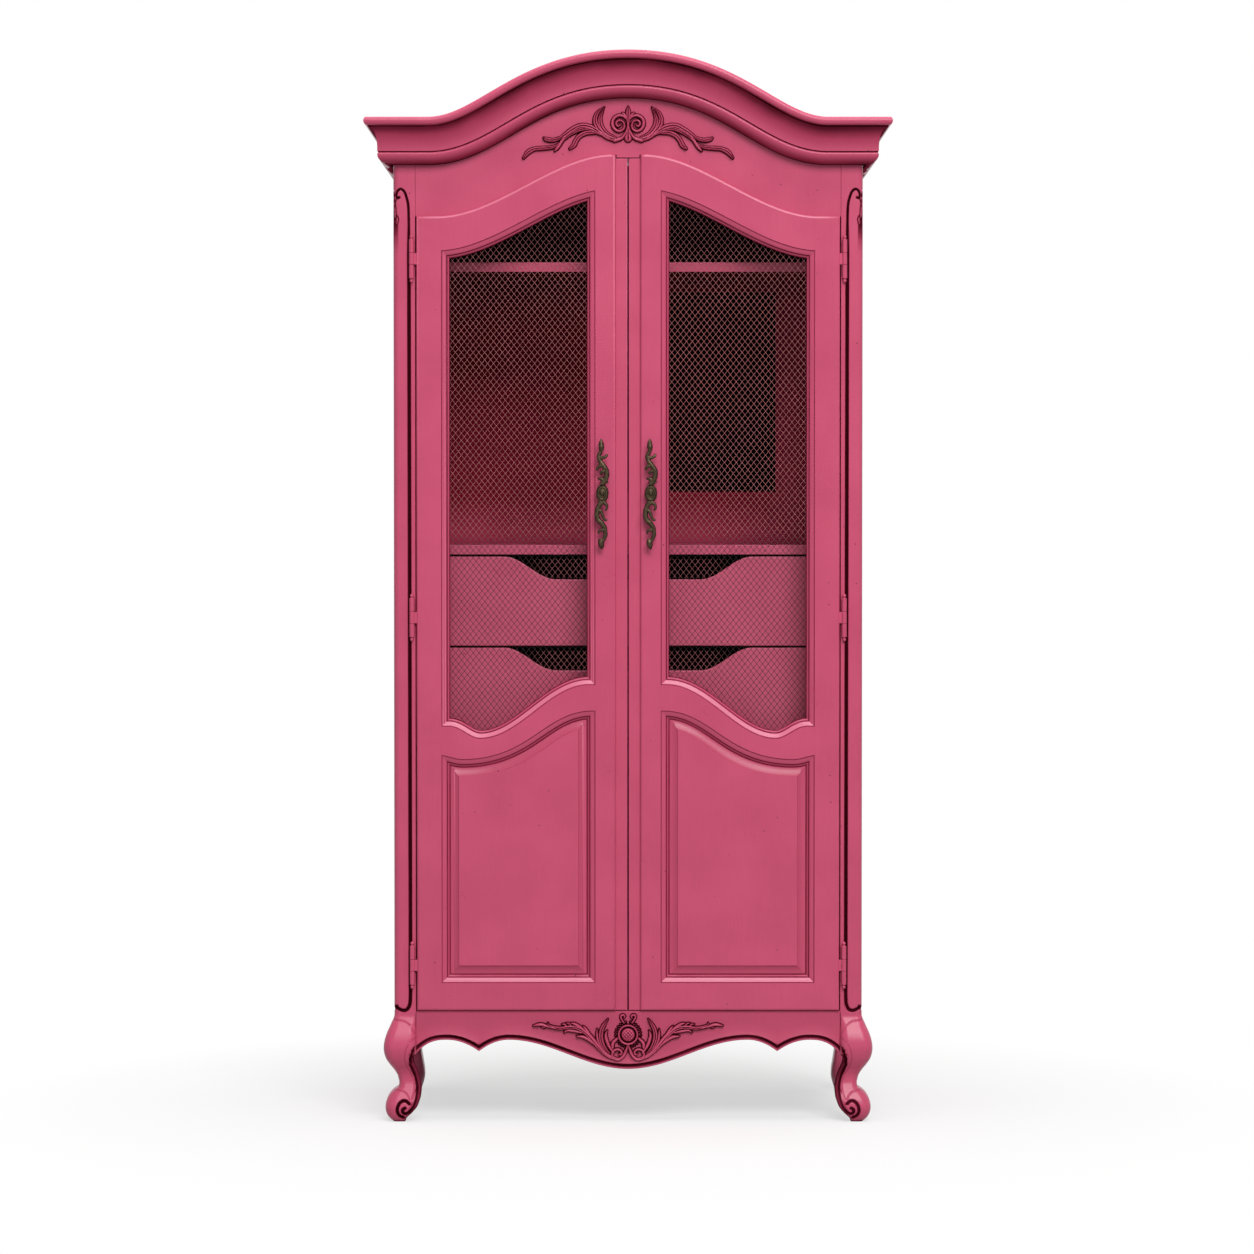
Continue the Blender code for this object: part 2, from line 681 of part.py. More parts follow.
def carvings():
    made = carving("frieze_carving", FRIEZE_SPRAY_HEIGHT, FRIEZE_STROKES, FRIEZE_CENTRE_STROKES, SPRAY_REACH)
    shown(made, "frieze_carving", PINK)
    made = carving("apron_carving", APRON_SPRAY_HEIGHT, APRON_STROKES, [], SPRAY_REACH)
    profile = [(0.0, -0.004), (0.0245, -0.004), (0.0245, 0.004), (0.022, 0.0065), (0.018, 0.005),
               (0.015, 0.005), (0.012, 0.0085), (0.006, 0.0105), (0.0, 0.011)]
    medallion = turned("medallion", profile, False, 20, (0.0, FRONT, APRON_SPRAY_HEIGHT))
    medallion.rotation_euler = (math.radians(90), 0.0, 0.0)
    behind = box("medallion back", (-SPRAY_REACH, SPRAY_REACH), (FRONT - FIT, FRONT + SPRAY_REACH),
                 (APRON_SPRAY_HEIGHT - SPRAY_REACH, APRON_SPRAY_HEIGHT + SPRAY_REACH))
    cut(medallion, behind)
    fuse(made, medallion)
    shown(made, "apron_carving", PINK)


# Carcass boards
def notched(half, front, back, front_notch, back_notch):
    """Plan of a board between the side panels that is cut away round the posts."""
    edge = POST_INNER - FIT
    fore = FRONT + POST_DEPTH + FIT
    rear = BACK - POST_DEPTH - FIT
    half_plan = [(edge, front), (edge, fore), (half, fore)] if front_notch else [(half, front)]
    half_plan += [(half, rear), (edge, rear), (edge, back)] if back_notch else [(half, back)]
    return half_plan + [(-x, y) for x, y in half_plan[::-1]]


def boards():
    inside = SIDE_INNER - FIT
    wide, fore = HALF - FIT, FRONT + BOARD + FIT
    plan = [(wide, fore), (wide, BACK), (-wide, BACK), (-wide, fore)]
    shown(lying("top_board", plan, POST_TOP + FIT, POST_TOP + FIT + TOP_BOARD), "top_board", PINK)
    plan = notched(inside, fore, BACK_FACE - FIT, True, True)
    shown(lying("bottom_board", plan, BOTTOM_TOP - BOARD, BOTTOM_TOP), "bottom_board", MAROON)
    plan = notched(inside, SHELF_FRONT, BACK_FACE - FIT, False, True)
    shown(lying("lower_shelf", plan, LOWER_SHELF, LOWER_SHELF + BOARD), "lower_shelf", PINK)
    plan = notched(SIDE_INNER + SHELF_HOUSING - FIT, SHELF_FRONT, BACK_FACE - FIT, False, True)
    shown(lying("upper_shelf", plan, UPPER_SHELF, UPPER_SHELF + BOARD), "upper_shelf", PINK)


def side_edge(at, low, high):
    """Lower edge of a side apron between its two ends."""
    middle = (low + high) / 2
    reach = abs(at - middle) / ((high - low) / 2)
    if reach < 0.55:
        return ogee(reach, (0.0, APRON_ARCH - SIDE_APRON_DROP), (0.55, APRON_ARCH))
    return APRON_ARCH - (APRON_ARCH - APRON_END) * ((reach - 0.55) / 0.45) ** APRON_END_BEND


def sides():
    fore = FRONT + POST_DEPTH + FIT
    rear = BACK - POST_DEPTH - FIT
    for side, word in ((-1, "left"), (1, "right")):
        edges = sorted((side * SIDE_INNER, side * SIDE_OUTER))
        outline = [(fore, APRON_TOP + FIT), (rear, APRON_TOP + FIT), (rear, POST_TOP), (fore, POST_TOP)]
        made = sideways(f"{word}_side_panel", outline, *edges)
        housing = (side * (SIDE_INNER - BEYOND), side * (SIDE_INNER + SHELF_HOUSING))
        cut(made, box(f"{word} shelf housing", housing, (SHELF_FRONT - FIT, BACK),
                      (UPPER_SHELF - FIT, UPPER_SHELF + BOARD + FIT)))
        shown(made, f"{word}_side_panel", PINK)
        low = [(at, side_edge(at, fore, rear)) for at in spaced(fore, rear, 20)]
        outline = low + [(rear, APRON_TOP), (fore, APRON_TOP)]
        shown(sideways(f"{word}_side_apron", outline, *edges), f"{word}_side_apron", PINK)


def back():
    edge = POST_INNER - FIT
    outline = [(-edge, BOTTOM_TOP - BOARD), (edge, BOTTOM_TOP - BOARD), (edge, POST_TOP), (-edge, POST_TOP)]
    made = facing("back_panel", outline, BACK_FACE, BACK_FACE + BACK_PANEL)
    cut(made, box("back cut-out", (CUT_LEFT, CUT_RIGHT), (BACK_FACE - BEYOND, BACK), (CUT_LOW, CUT_HIGH)))
    shown(made, "back_panel", MAROON)
    start = BACK_FACE + BACK_PANEL + FIT
    made = box("rear_access_cover", (CUT_LEFT - COVER_LAP, CUT_RIGHT + COVER_LAP), (start, start + COVER),
               (CUT_LOW - COVER_LAP, CUT_HIGH + COVER_LAP))
    shown(made, "rear_access_cover", BLACK)


# Drawers
def runner_boards():
    fore = FRONT + POST_DEPTH + FIT
    rear = BACK - POST_DEPTH - FIT
    start = SHELF_FRONT + DRAWER_FRONT + DRAWER_CLEAR
    for side, word in ((-1, "left"), (1, "right")):
        name = f"{word}_drawer_runner_board"
        made = box(name, (side * POST_INNER, side * (SIDE_INNER - FIT)), (fore, rear),
                   (BOTTOM_TOP + FIT, LOWER_SHELF - FIT))
        for place, low in (("upper", UPPER_DRAWER), ("lower", LOWER_DRAWER)):
            ledge = box(f"{word} {place} ledge",
                        (side * (POST_INNER - LEDGE_WIDTH), side * (POST_INNER + LEDGE_LIFT)),
                        (start, rear - DRAWER_GAP),
                        (low + LEDGE_LIFT, low + LEDGE_LIFT + LEDGE_HEIGHT))
            fuse(made, ledge)
        shown(made, name, RAW_WOOD)


def scoop(at, top):
    return ogee(at, (SCOOP_FLAT, top - SCOOP_DEPTH), (SCOOP_HALF, top))


def drawer(word, low):
    top = low + DRAWER_HEIGHT
    half = [(DRAWER_HALF, low), (DRAWER_HALF, top)]
    half += [(at, scoop(at, top)) for at in spaced(SCOOP_HALF, SCOOP_FLAT, 10)]
    outline = half + [(-x, z) for x, z in half[::-1]]
    front_back = SHELF_FRONT + DRAWER_FRONT
    made = facing(f"{word}_drawer_front", outline, SHELF_FRONT, front_back)
    pieces = [shown(made, f"{word}_drawer_front", PINK)]
    rest = low + LEDGE_LIFT + LEDGE_HEIGHT + FIT
    rim = top - SCOOP_DEPTH - 0.004
    start, end = front_back + FIT, BACK_FACE - DRAWER_BACK_CLEAR
    inner = DRAWER_HALF - DRAWER_SIDE
    plan = [(DRAWER_HALF, start), (DRAWER_HALF, end), (-DRAWER_HALF, end), (-DRAWER_HALF, start),
            (-inner, start), (-inner, end - DRAWER_SIDE), (inner, end - DRAWER_SIDE), (inner, start)]
    made = lying(f"{word}_drawer_box", plan, rest, rim)
    groove = DRAWER_SIDE / 2
    floor = rest + 0.008
    cut(made, box(f"{word} drawer groove", (-inner - groove, inner + groove),
                  (start - 0.01, end - DRAWER_SIDE + groove), (floor, floor + DRAWER_BOTTOM)))
    pieces.append(shown(made, f"{word}_drawer_box", RAW_WOOD))
    made = box(f"{word}_drawer_bottom", (FIT - inner - groove, inner + groove - FIT),
               (start + FIT, end - DRAWER_SIDE + groove - FIT), (floor + FIT, floor + DRAWER_BOTTOM - FIT))
    pieces.append(shown(made, f"{word}_drawer_bottom", RAW_WOOD))
    return pieces


# Doors
UPPER_OPENING = (HINGE_EDGE, MEETING_EDGE, mesh_sill, mesh_head, CURVE_STEPS)
LOWER_OPENING = (HINGE_EDGE, MEETING_EDGE, panel_sill, panel_head, CURVE_STEPS)


def shifted(curve, at, offset, upward):
    slope = (curve(at + 0.0005) - curve(at - 0.0005)) / 0.001
    return curve(at) + upward * offset * math.sqrt(1.0 + slope * slope)


def opening_loop(opening, offset):
    """Outline of a door opening drawn in by offset: along the sill, then back along the head."""
    outer, inner, sill, head, count = opening
    ats = spaced(outer - offset, inner + offset, count)
    low_ats = [ats[0], ats[-1]] if sill is panel_sill else ats
    low = [(at, shifted(sill, at, offset, 1)) for at in low_ats]
    return low + [(at, shifted(head, at, offset, -1)) for at in ats[::-1]]


def placed_loop(side, loop, depth):
    return [(side * at, DOOR_FACE + depth, z) for at, z in loop]


def moulding_cutter(name, side, opening):
    """What a moulding plane and the seat behind it take away round one opening."""
    width, depth = MOULD_WIDTH, MOULD_DEPTH
    steps = [(0.0, -0.002), (0.0, 0.0016), (0.12 * width, 0.0018), (0.5 * width, 0.32 * depth),
             (0.8 * width, 0.6 * depth), (width, depth), (width, SEAT_DEPTH),
             (width - SEAT_LAP, SEAT_DEPTH), (width - SEAT_LAP, DOOR_THICK + 0.004)]
    return loft(name, [placed_loop(side, opening_loop(opening, offset), at) for offset, at in steps])


def door_blank(name, side):
    crest = door_top(STRIP_EDGE)
    outline = [(DOOR_INNER, DOOR_BOTTOM), (DOOR_OUTER, DOOR_BOTTOM), (DOOR_OUTER, door_top(DOOR_OUTER))]
    outline += [(at, door_top(at)) for at in spaced(DOOR_SHOULDER_AT, DOOR_CREST_AT, CURVE_STEPS)]
    outline += [(STRIP_EDGE, crest), (STRIP_EDGE, crest - STRIP_DROP), (DOOR_INNER, crest - STRIP_DROP)]
    return facing(name, mirrored(side, outline), DOOR_FACE, DOOR_REAR)


def mitre_points(opening, hinge_side, shift):
    """From the head corner of an opening into its middle and out again at the sill corner."""
    corners = []
    for offset in (0.0, MITRE_REACH):
        outer, inner, sill, head, _ = opening
        at = outer - offset if hinge_side else inner + offset
        corners.append((at, shifted(head, at, offset, -1), shifted(sill, at, offset, 1)))
    (edge, head_out, sill_out), (deep, head_in, sill_in) = corners
    return [(edge + shift, head_out), (deep + shift, head_in),
            (deep + shift, sill_in), (edge + shift, sill_out)]


def stile_region(hinge_side, shift):
    far = DOOR_OUTER + BEYOND if hinge_side else -BEYOND
    edge = (HINGE_EDGE if hinge_side else MEETING_EDGE) + shift
    line = mitre_points(UPPER_OPENING, hinge_side, shift) + mitre_points(LOWER_OPENING, hinge_side, shift)
    return [(far, OVERHEAD), (edge, OVERHEAD)] + line + [(edge, 0.0), (far, 0.0)]


def rail_region(place):
    hinge = [mitre_points(opening, True, -MITRE_GAP) for opening in (UPPER_OPENING, LOWER_OPENING)]
    meeting = [mitre_points(opening, False, MITRE_GAP) for opening in (UPPER_OPENING, LOWER_OPENING)]
    if place == "top":
        return [(hinge[0][0][0], OVERHEAD), *hinge[0][:2], *meeting[0][1::-1], (meeting[0][0][0], OVERHEAD)]
    if place == "mid":
        low = [(at, panel_head(at) - MITRE_REACH) for at in spaced(hinge[1][1][0], meeting[1][1][0], 6)]
        high = [(at, mesh_sill(at) + MITRE_REACH) for at in spaced(meeting[0][2][0], hinge[0][2][0], 6)]
        return [hinge[0][3], hinge[1][0], hinge[1][1], *low[1:-1], meeting[1][1], meeting[1][0],
                meeting[0][3], meeting[0][2], *high[1:-1], hinge[0][2]]
    return [(hinge[1][3][0], 0.0), hinge[1][3], hinge[1][2],
            meeting[1][2], meeting[1][3], (meeting[1][3][0], 0.0)]


def door_member(word, side, place, region, openings):
    name = f"{word}_door_{place}"
    made = door_blank(name, side)
    keep = facing(f"{name} region", mirrored(side, region), DOOR_FACE - BEYOND, DOOR_REAR + BEYOND)
    combine(made, keep, "INTERSECT")
    return cut(made, *openings)


def top_rail_region():
    """The top rail reaches down into the mesh opening only by its own moulding."""
    region = rail_region("top")
    start, end = region[2], region[3]
    dip = [(at, mesh_head(at) - MITRE_REACH) for at in spaced(start[0], end[0], 6)]
    return region[:3] + dip[1:-1] + region[3:]


def door_frame(word, side):
    upper = moulding_cutter(f"{word} mesh opening", side, UPPER_OPENING)
    lower = moulding_cutter(f"{word} panel opening", side, LOWER_OPENING)
    hinge_stile = door_member(word, side, "hinge_stile", stile_region(True, MITRE_GAP), (upper, lower))
    slot_end = HINGE_X - HINGE_RADIUS - DOOR_LEAF_REACH - FIT
    slot_half = LEAF / 2 + FIT
    slot_reach = KNUCKLE / 2 + FIT
    for place, height in HINGE_HEIGHTS.items():
        cut(hinge_stile, box(f"{word} {place} leaf slot",
                             (side * (DOOR_OUTER + BEYOND), side * slot_end),
                             (HINGE_Y - slot_half, HINGE_Y + slot_half),
                             (height - slot_reach, height + slot_reach)))
    meeting_stile = door_member(word, side, "meeting_stile", stile_region(False, -MITRE_GAP), (upper, lower))
    cut(meeting_stile, box(f"{word} strip step", (-side * BEYOND, side * STRIP_EDGE),
                           (DOOR_FACE - BEYOND, DOOR_FACE + STRIP_STEP), (0.0, OVERHEAD)))
    top_rail = door_member(word, side, "top_rail", top_rail_region(), (upper,))
    mid_rail = door_member(word, side, "mid_rail", rail_region("mid"), (upper, lower))
    bottom_rail = door_member(word, side, "bottom_rail", rail_region("bottom"), (lower,))
    members = (hinge_stile, meeting_stile, top_rail, mid_rail, bottom_rail)
    return [shown(made, made.name, PINK) for made in members]


def lower_panel(word, side):
    """Raised panel: a rim in the seat behind the moulding, a bevel, then the flat field."""
    rim = MOULD_WIDTH - SEAT_LAP + FIT
    face = MOULD_WIDTH + FIT
    steps = [(rim, DOOR_THICK - 0.002), (rim, SEAT_DEPTH + FIT), (face, SEAT_DEPTH + FIT),
             (face, MOULD_DEPTH), (face + 0.4 * FIELD_MARGIN, 0.75 * MOULD_DEPTH),
             (face + FIELD_MARGIN, 0.42 * MOULD_DEPTH), (face + 1.06 * FIELD_MARGIN, 0.3 * MOULD_DEPTH)]
    name = f"{word}_door_lower_panel"
    made = loft(name, [placed_loop(side, opening_loop(LOWER_OPENING, offset), at) for offset, at in steps])
    return shown(made, name, PINK)


def wire_mesh(word, side):
    """The opening's outline sliced both ways into diamonds, each edge then made a wire."""
    name = f"{word}_door_wire_mesh"
    outline = opening_loop(UPPER_OPENING, MOULD_WIDTH - SEAT_LAP + FIT + WIRE * 0.6)
    mesh = bpy.data.meshes.new(name)
    work = bmesh.new()
    depth = DOOR_FACE + SEAT_DEPTH + FIT + WIRE * 0.55
    work.faces.new([work.verts.new((side * at, depth, z)) for at, z in outline])
    centre = (side * (HINGE_EDGE + MEETING_EDGE) / 2, depth, (mesh_sill(0.2) + mesh_head(0.2)) / 2)
    for lean in (1, -1):
        normal = (MESH_SLOPE, 0.0, lean * 1.0)
        for index in range(-MESH_LINES, MESH_LINES + 1):
            start = (centre[0] + (index + 0.5) * MESH_PITCH, depth, centre[2])
            everything = list(work.verts) + list(work.edges) + list(work.faces)
            bmesh.ops.bisect_plane(work, geom=everything, dist=0.00001, plane_co=start, plane_no=normal)
    for _ in range(3):
        short = [edge for edge in work.edges if edge.calc_length() < MESH_SHORT and not edge.is_boundary]
        bmesh.ops.collapse(work, edges=short)
        near = [vert for vert in work.verts if vert.is_boundary]
        bmesh.ops.remove_doubles(work, verts=near, dist=MESH_MERGE)
    bmesh.ops.recalc_face_normals(work, faces=work.faces)
    work.to_mesh(mesh)
    work.free()
    made = new_object(name, mesh)
    wires = made.modifiers.new("wires", "WIREFRAME")
    wires.thickness = WIRE
    wires.use_boundary = True
    wires.use_even_offset = False
    wires.use_replace = True
    return shown(made, name, WIRE_FINISH)


# Pull handle: each stroke is a row of (right of the centre, height from the centre, radius)
HANDLE_STROKES = [
    [(0.000, 0.112, 0.0012), (-0.003, 0.100, 0.0046), (-0.003, 0.089, 0.0032), (-0.007, 0.077, 0.0034),
     (-0.005, 0.065, 0.0040), (0.004, 0.055, 0.0042), (0.008, 0.043, 0.0044), (0.007, 0.031, 0.0044),
     (0.000, 0.020, 0.0046), (-0.001, 0.006, 0.0050)],
    [(-0.005, 0.071, 0.0030), (0.003, 0.071, 0.0030), (0.009, 0.078, 0.0022)],
    [(-0.010, 0.053, 0.0018), (-0.005, 0.051, 0.0032), (0.002, 0.044, 0.0034), (0.007, 0.034, 0.0036)],
    [(-0.001, 0.000, 0.0050), (-0.004, -0.018, 0.0046), (-0.009, -0.033, 0.0044), (-0.007, -0.048, 0.0042),
     (0.001, -0.062, 0.0040), (0.006, -0.076, 0.0034), (0.003, -0.088, 0.0030), (-0.001, -0.100, 0.0044),
     (-0.002, -0.113, 0.0012)],
    [(-0.005, -0.032, 0.0034), (0.003, -0.034, 0.0032), (0.009, -0.026, 0.0022)],
    [(-0.007, -0.045, 0.0034), (0.001, -0.052, 0.0030), (0.009, -0.053, 0.0016)],
    [(0.004, -0.082, 0.0030), (-0.005, -0.080, 0.0028), (-0.010, -0.073, 0.0020)],
]
HANDLE_POSTS = ((-0.003, 0.062), (0.002, -0.064))
HANDLE_BOSS = (0.012, 0.010, 0.0175)


def handle(word, side):
    name = f"{word}_door_handle"
    at = side * HANDLE_AT[word]
    y = DOOR_FACE - HANDLE_STAND
    place = Matrix.Translation((at, y, HANDLE_HEIGHT))
    made = curve_solid(name, stroke_curve(name, HANDLE_STROKES, 1), place)
    mesh = bpy.data.meshes.new(f"{word} boss")
    work = bmesh.new()
    form = Matrix.Diagonal((*HANDLE_BOSS, 1.0))
    bmesh.ops.create_uvsphere(work, u_segments=12, v_segments=6, radius=1.0, matrix=form)
    work.to_mesh(mesh)
    work.free()
    boss = new_object(f"{word} boss", mesh)
    boss.location = (at, y, HANDLE_HEIGHT)
    combine(made, boss, "UNION", True)
    for number, (across, up) in enumerate(HANDLE_POSTS):
        foot, neck = HANDLE_POST_RADIUS * 1.6, HANDLE_POST_RADIUS * 0.8
        profile = [(0.0, 0.0), (foot, 0.0), (foot, 0.12 * HANDLE_STAND), (neck, 0.3 * HANDLE_STAND),
                   (neck, HANDLE_STAND), (0.0, HANDLE_STAND)]
        stem = turned(f"{word} stem {number}", profile, False, 10,
                      (at + across, DOOR_FACE - FIT, HANDLE_HEIGHT + up))
        stem.rotation_euler = (math.radians(90), 0.0, 0.0)
        fuse(made, stem)
    return shown(made, name, BRONZE)


# Hinges
def hinge(word, side, place, height):
    half = HINGE_LENGTH / 2
    middle = KNUCKLE / 2
    ball, radius = HINGE_FINIAL, HINGE_RADIUS
    profile = [(0.0, half + ball), (0.52 * radius, half + ball * 0.85), (0.72 * radius, half + ball * 0.5),
               (0.36 * radius, half + ball * 0.14), (radius, half), (radius, middle + FIT),
               (HINGE_PIN, middle + FIT)]
    profile += [(out, -z) for out, z in profile[::-1]]
    at = (side * HINGE_X, HINGE_Y, height)
    fixed = turned(f"{word} {place} barrel", profile, False, HINGE_SIDES, at)
    for low, high in ((middle + FIT, half), (-half, -middle - FIT)):
        leaf = box(f"{word} {place} post leaf {low:.3f}",
                   (side * (HINGE_X - LEAF / 2), side * (HINGE_X + LEAF / 2)),
                   (HINGE_Y + HINGE_PIN, FRONT + POST_LEAF_DEPTH),
                   (height + low + LEAF_INSET, height + high - LEAF_INSET))
        fuse(fixed, leaf)
    shown(fixed, f"{word}_{place}_post_hinge_leaf", PINK)
    ring = [(HINGE_BORE, middle), (HINGE_RADIUS, middle), (HINGE_RADIUS, -middle), (HINGE_BORE, -middle)]
    moving = turned(f"{word} {place} knuckle", ring, True, HINGE_SIDES, at)
    inner = HINGE_X - HINGE_RADIUS - DOOR_LEAF_REACH
    leaf = box(f"{word} {place} door leaf", (side * (HINGE_X - HINGE_RADIUS * 0.75), side * inner),
               (HINGE_Y - LEAF / 2, HINGE_Y + LEAF / 2),
               (height - middle + LEAF_INSET, height + middle - LEAF_INSET))
    fuse(moving, leaf)
    return shown(moving, f"{word}_{place}_door_hinge_leaf", PINK)


# Catch
CATCH_HALF = 0.030
CATCH_DROP = 0.016
CATCH_RISE = 0.020
CATCH_DEPTH = 0.020
PLATE_INNER = 0.006
PLATE_MARGIN = 0.004


def magnetic_catch():
    low = frieze_low(0.0)
    made = box("magnetic_catch", (-CATCH_HALF, CATCH_HALF),
               (FRONT + BOARD + FIT, FRONT + BOARD + CATCH_DEPTH),
               (low - CATCH_DROP, low + CATCH_RISE))
    shown(made, "magnetic_catch", STEEL)


def catch_plate(word, side):
    low = frieze_low(0.0)
    made = box(f"{word}_door_catch_plate", (side * PLATE_INNER, side * (CATCH_HALF - PLATE_MARGIN)),
               (DOOR_REAR + FIT, FRONT + BOARD - FIT),
               (low - CATCH_DROP + PLATE_MARGIN / 2, low - PLATE_MARGIN))
    return shown(made, f"{word}_door_catch_plate", STEEL)


def hang(word, location, pieces):
    """An empty on the joint's axis that carries the pieces which move together."""
    carrier = bpy.data.objects.new(word, None)
    carrier.location = location
    PARTS.objects.link(carrier)
    bpy.context.view_layer.update()
    for piece in pieces:
        piece.parent = carrier
        piece.matrix_parent_inverse = carrier.matrix_world.inverted()


def doors():
    for side, word in ((-1, "left"), (1, "right")):
        pieces = door_frame(word, side)
        pieces += [lower_panel(word, side), wire_mesh(word, side)]
        pieces += [handle(word, side), catch_plate(word, side)]
        for place, height in HINGE_HEIGHTS.items():
            pieces.append(hinge(word, side, place, height))
        hang(f"{word} door axis", (side * HINGE_X, HINGE_Y, 0.0), pieces)


def drawers():
    for word, low in (("upper", UPPER_DRAWER), ("lower", LOWER_DRAWER)):
        hang(f"{word} drawer slide", (0.0, SHELF_FRONT, low), drawer(word, low))


posts()
cornice()
frieze()
apron()
carvings()
boards()
sides()
back()
runner_boards()
magnetic_catch()
doors()
drawers()
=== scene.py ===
"""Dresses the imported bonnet-top armoire with its carved shapes, finishes, floor, light and camera."""

import math

import bmesh
import bpy
import numpy as np
from mathutils import Matrix, Vector


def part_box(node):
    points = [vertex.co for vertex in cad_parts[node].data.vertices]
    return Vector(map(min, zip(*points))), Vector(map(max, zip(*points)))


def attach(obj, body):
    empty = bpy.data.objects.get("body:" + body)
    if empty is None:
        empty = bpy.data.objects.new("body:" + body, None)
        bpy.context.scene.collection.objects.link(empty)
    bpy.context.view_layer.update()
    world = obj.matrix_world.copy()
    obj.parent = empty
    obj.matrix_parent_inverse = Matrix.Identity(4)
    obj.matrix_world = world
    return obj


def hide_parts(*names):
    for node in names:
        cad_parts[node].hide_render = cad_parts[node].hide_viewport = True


bl_info = {
    "name": "Bonnet-top armoire",
    "version": (1, 0, 0),
    "blender": (4, 5, 0),
    "location": "3D View > Sidebar > Armoire",
    "description": "Builds the carved and painted pieces of a bonnet-top armoire on its packed solids",
    "category": "Object",
}

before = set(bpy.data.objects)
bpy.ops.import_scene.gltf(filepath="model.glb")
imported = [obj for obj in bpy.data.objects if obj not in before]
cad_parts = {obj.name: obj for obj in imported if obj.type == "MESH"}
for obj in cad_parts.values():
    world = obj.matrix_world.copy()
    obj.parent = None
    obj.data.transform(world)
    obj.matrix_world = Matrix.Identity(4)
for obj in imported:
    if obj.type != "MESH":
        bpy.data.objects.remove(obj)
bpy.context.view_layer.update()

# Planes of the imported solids
FIT = 0.0003
RIM = 0.0006
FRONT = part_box("frieze_board")[0].y
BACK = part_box("top_board")[1].y
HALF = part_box("top_board")[1].x + FIT
POST_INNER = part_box("frieze_board")[1].x + FIT
POST_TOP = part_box("back_left_post")[1].z
CORNICE_LOW, CORNICE_TOP = [corner.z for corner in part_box("cornice_left_return")]
CORNICE_HEIGHT = CORNICE_TOP - CORNICE_LOW
CORNICE_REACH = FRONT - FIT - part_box("cornice_front")[0].y
BONNET_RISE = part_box("cornice_front")[1].z - CORNICE_TOP
DOOR_FACE, DOOR_REAR = [corner.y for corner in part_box("right_door_top_rail")]
DOOR_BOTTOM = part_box("right_door_hinge_stile")[0].z
DOOR_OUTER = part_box("right_door_hinge_stile")[1].x
DOOR_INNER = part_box("right_door_meeting_stile")[0].x
APRON_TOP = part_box("front_apron")[1].z
UPPER_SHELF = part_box("upper_shelf")[0].z
LOWER_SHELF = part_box("lower_shelf")[1].z
BOARD = 0.020
SIDES = ((-1, "left"), (1, "right"))

# Bonnet and frieze
BONNET_HALF = 0.407
BONNET_SHOULDER_PULL = 0.102
BONNET_CROWN_PULL = 0.224
FRIEZE_DROP = 0.012

# Posts and cabriole legs, with profiles as (height, distance or share) in millimetres
POST_WIDTH = 0.045
POST_DEPTH = 0.054
POST_ROUND = 0.012
POST_EASE = 0.001
BACK_POST_EASE = 0.003
LEG_WIDTH = 0.048
LEG_BLEND = 0.030
LEG_HEIGHT = 0.228
# Painted shade on the inner sides of the front legs.
LEG_SIDE_SHADE = 0.62
CARVED_LOW = 0.264
CARVED_HIGH = (1.838, 1.922)
KNEE = [(118, 9.8), (131, 17.5), (148, 21.7), (165, 20.4), (182, 15.4), (200, 7.3), (216, 0.6), (228, 0)]
LEG_OUTER = [(0, 1), (8, 10), (18, 16.2), (30, 18.5), (43, 16.4), (54, 11), (63.5, 2.2), (70, -7.2),
             (81, -9.3), (94, -6), (106, 1), *KNEE]
LEG_FORE = [(0, 1), (8, 8.5), (18, 13.8), (30, 15.5), (43, 13), (54, 8.5), (66, 3), (81, -3), (94, -3.5),
            (106, 1.5), *KNEE]
LEG_INNER = [(0, 0.47), (8, 0.54), (18, 0.76), (30, 0.97), (43, 1.08), (54, 1.12), (63.5, 1.135), (70, 1.125),
             (81, 1.085), (94, 1.02), (106, 0.935), (118, 0.84), (131, 0.81), (139, 0.92), (148, 1), (228, 1)]
BACK_LEG_INNER = [(0, 0.66), (18, 0.78), (30, 0.825), (43, 0.82), (54, 0.79), (70, 0.73), (81, 0.69),
                  (94, 0.67), (106, 0.7), (118, 0.78), (131, 0.89), (148, 1), (228, 1)]
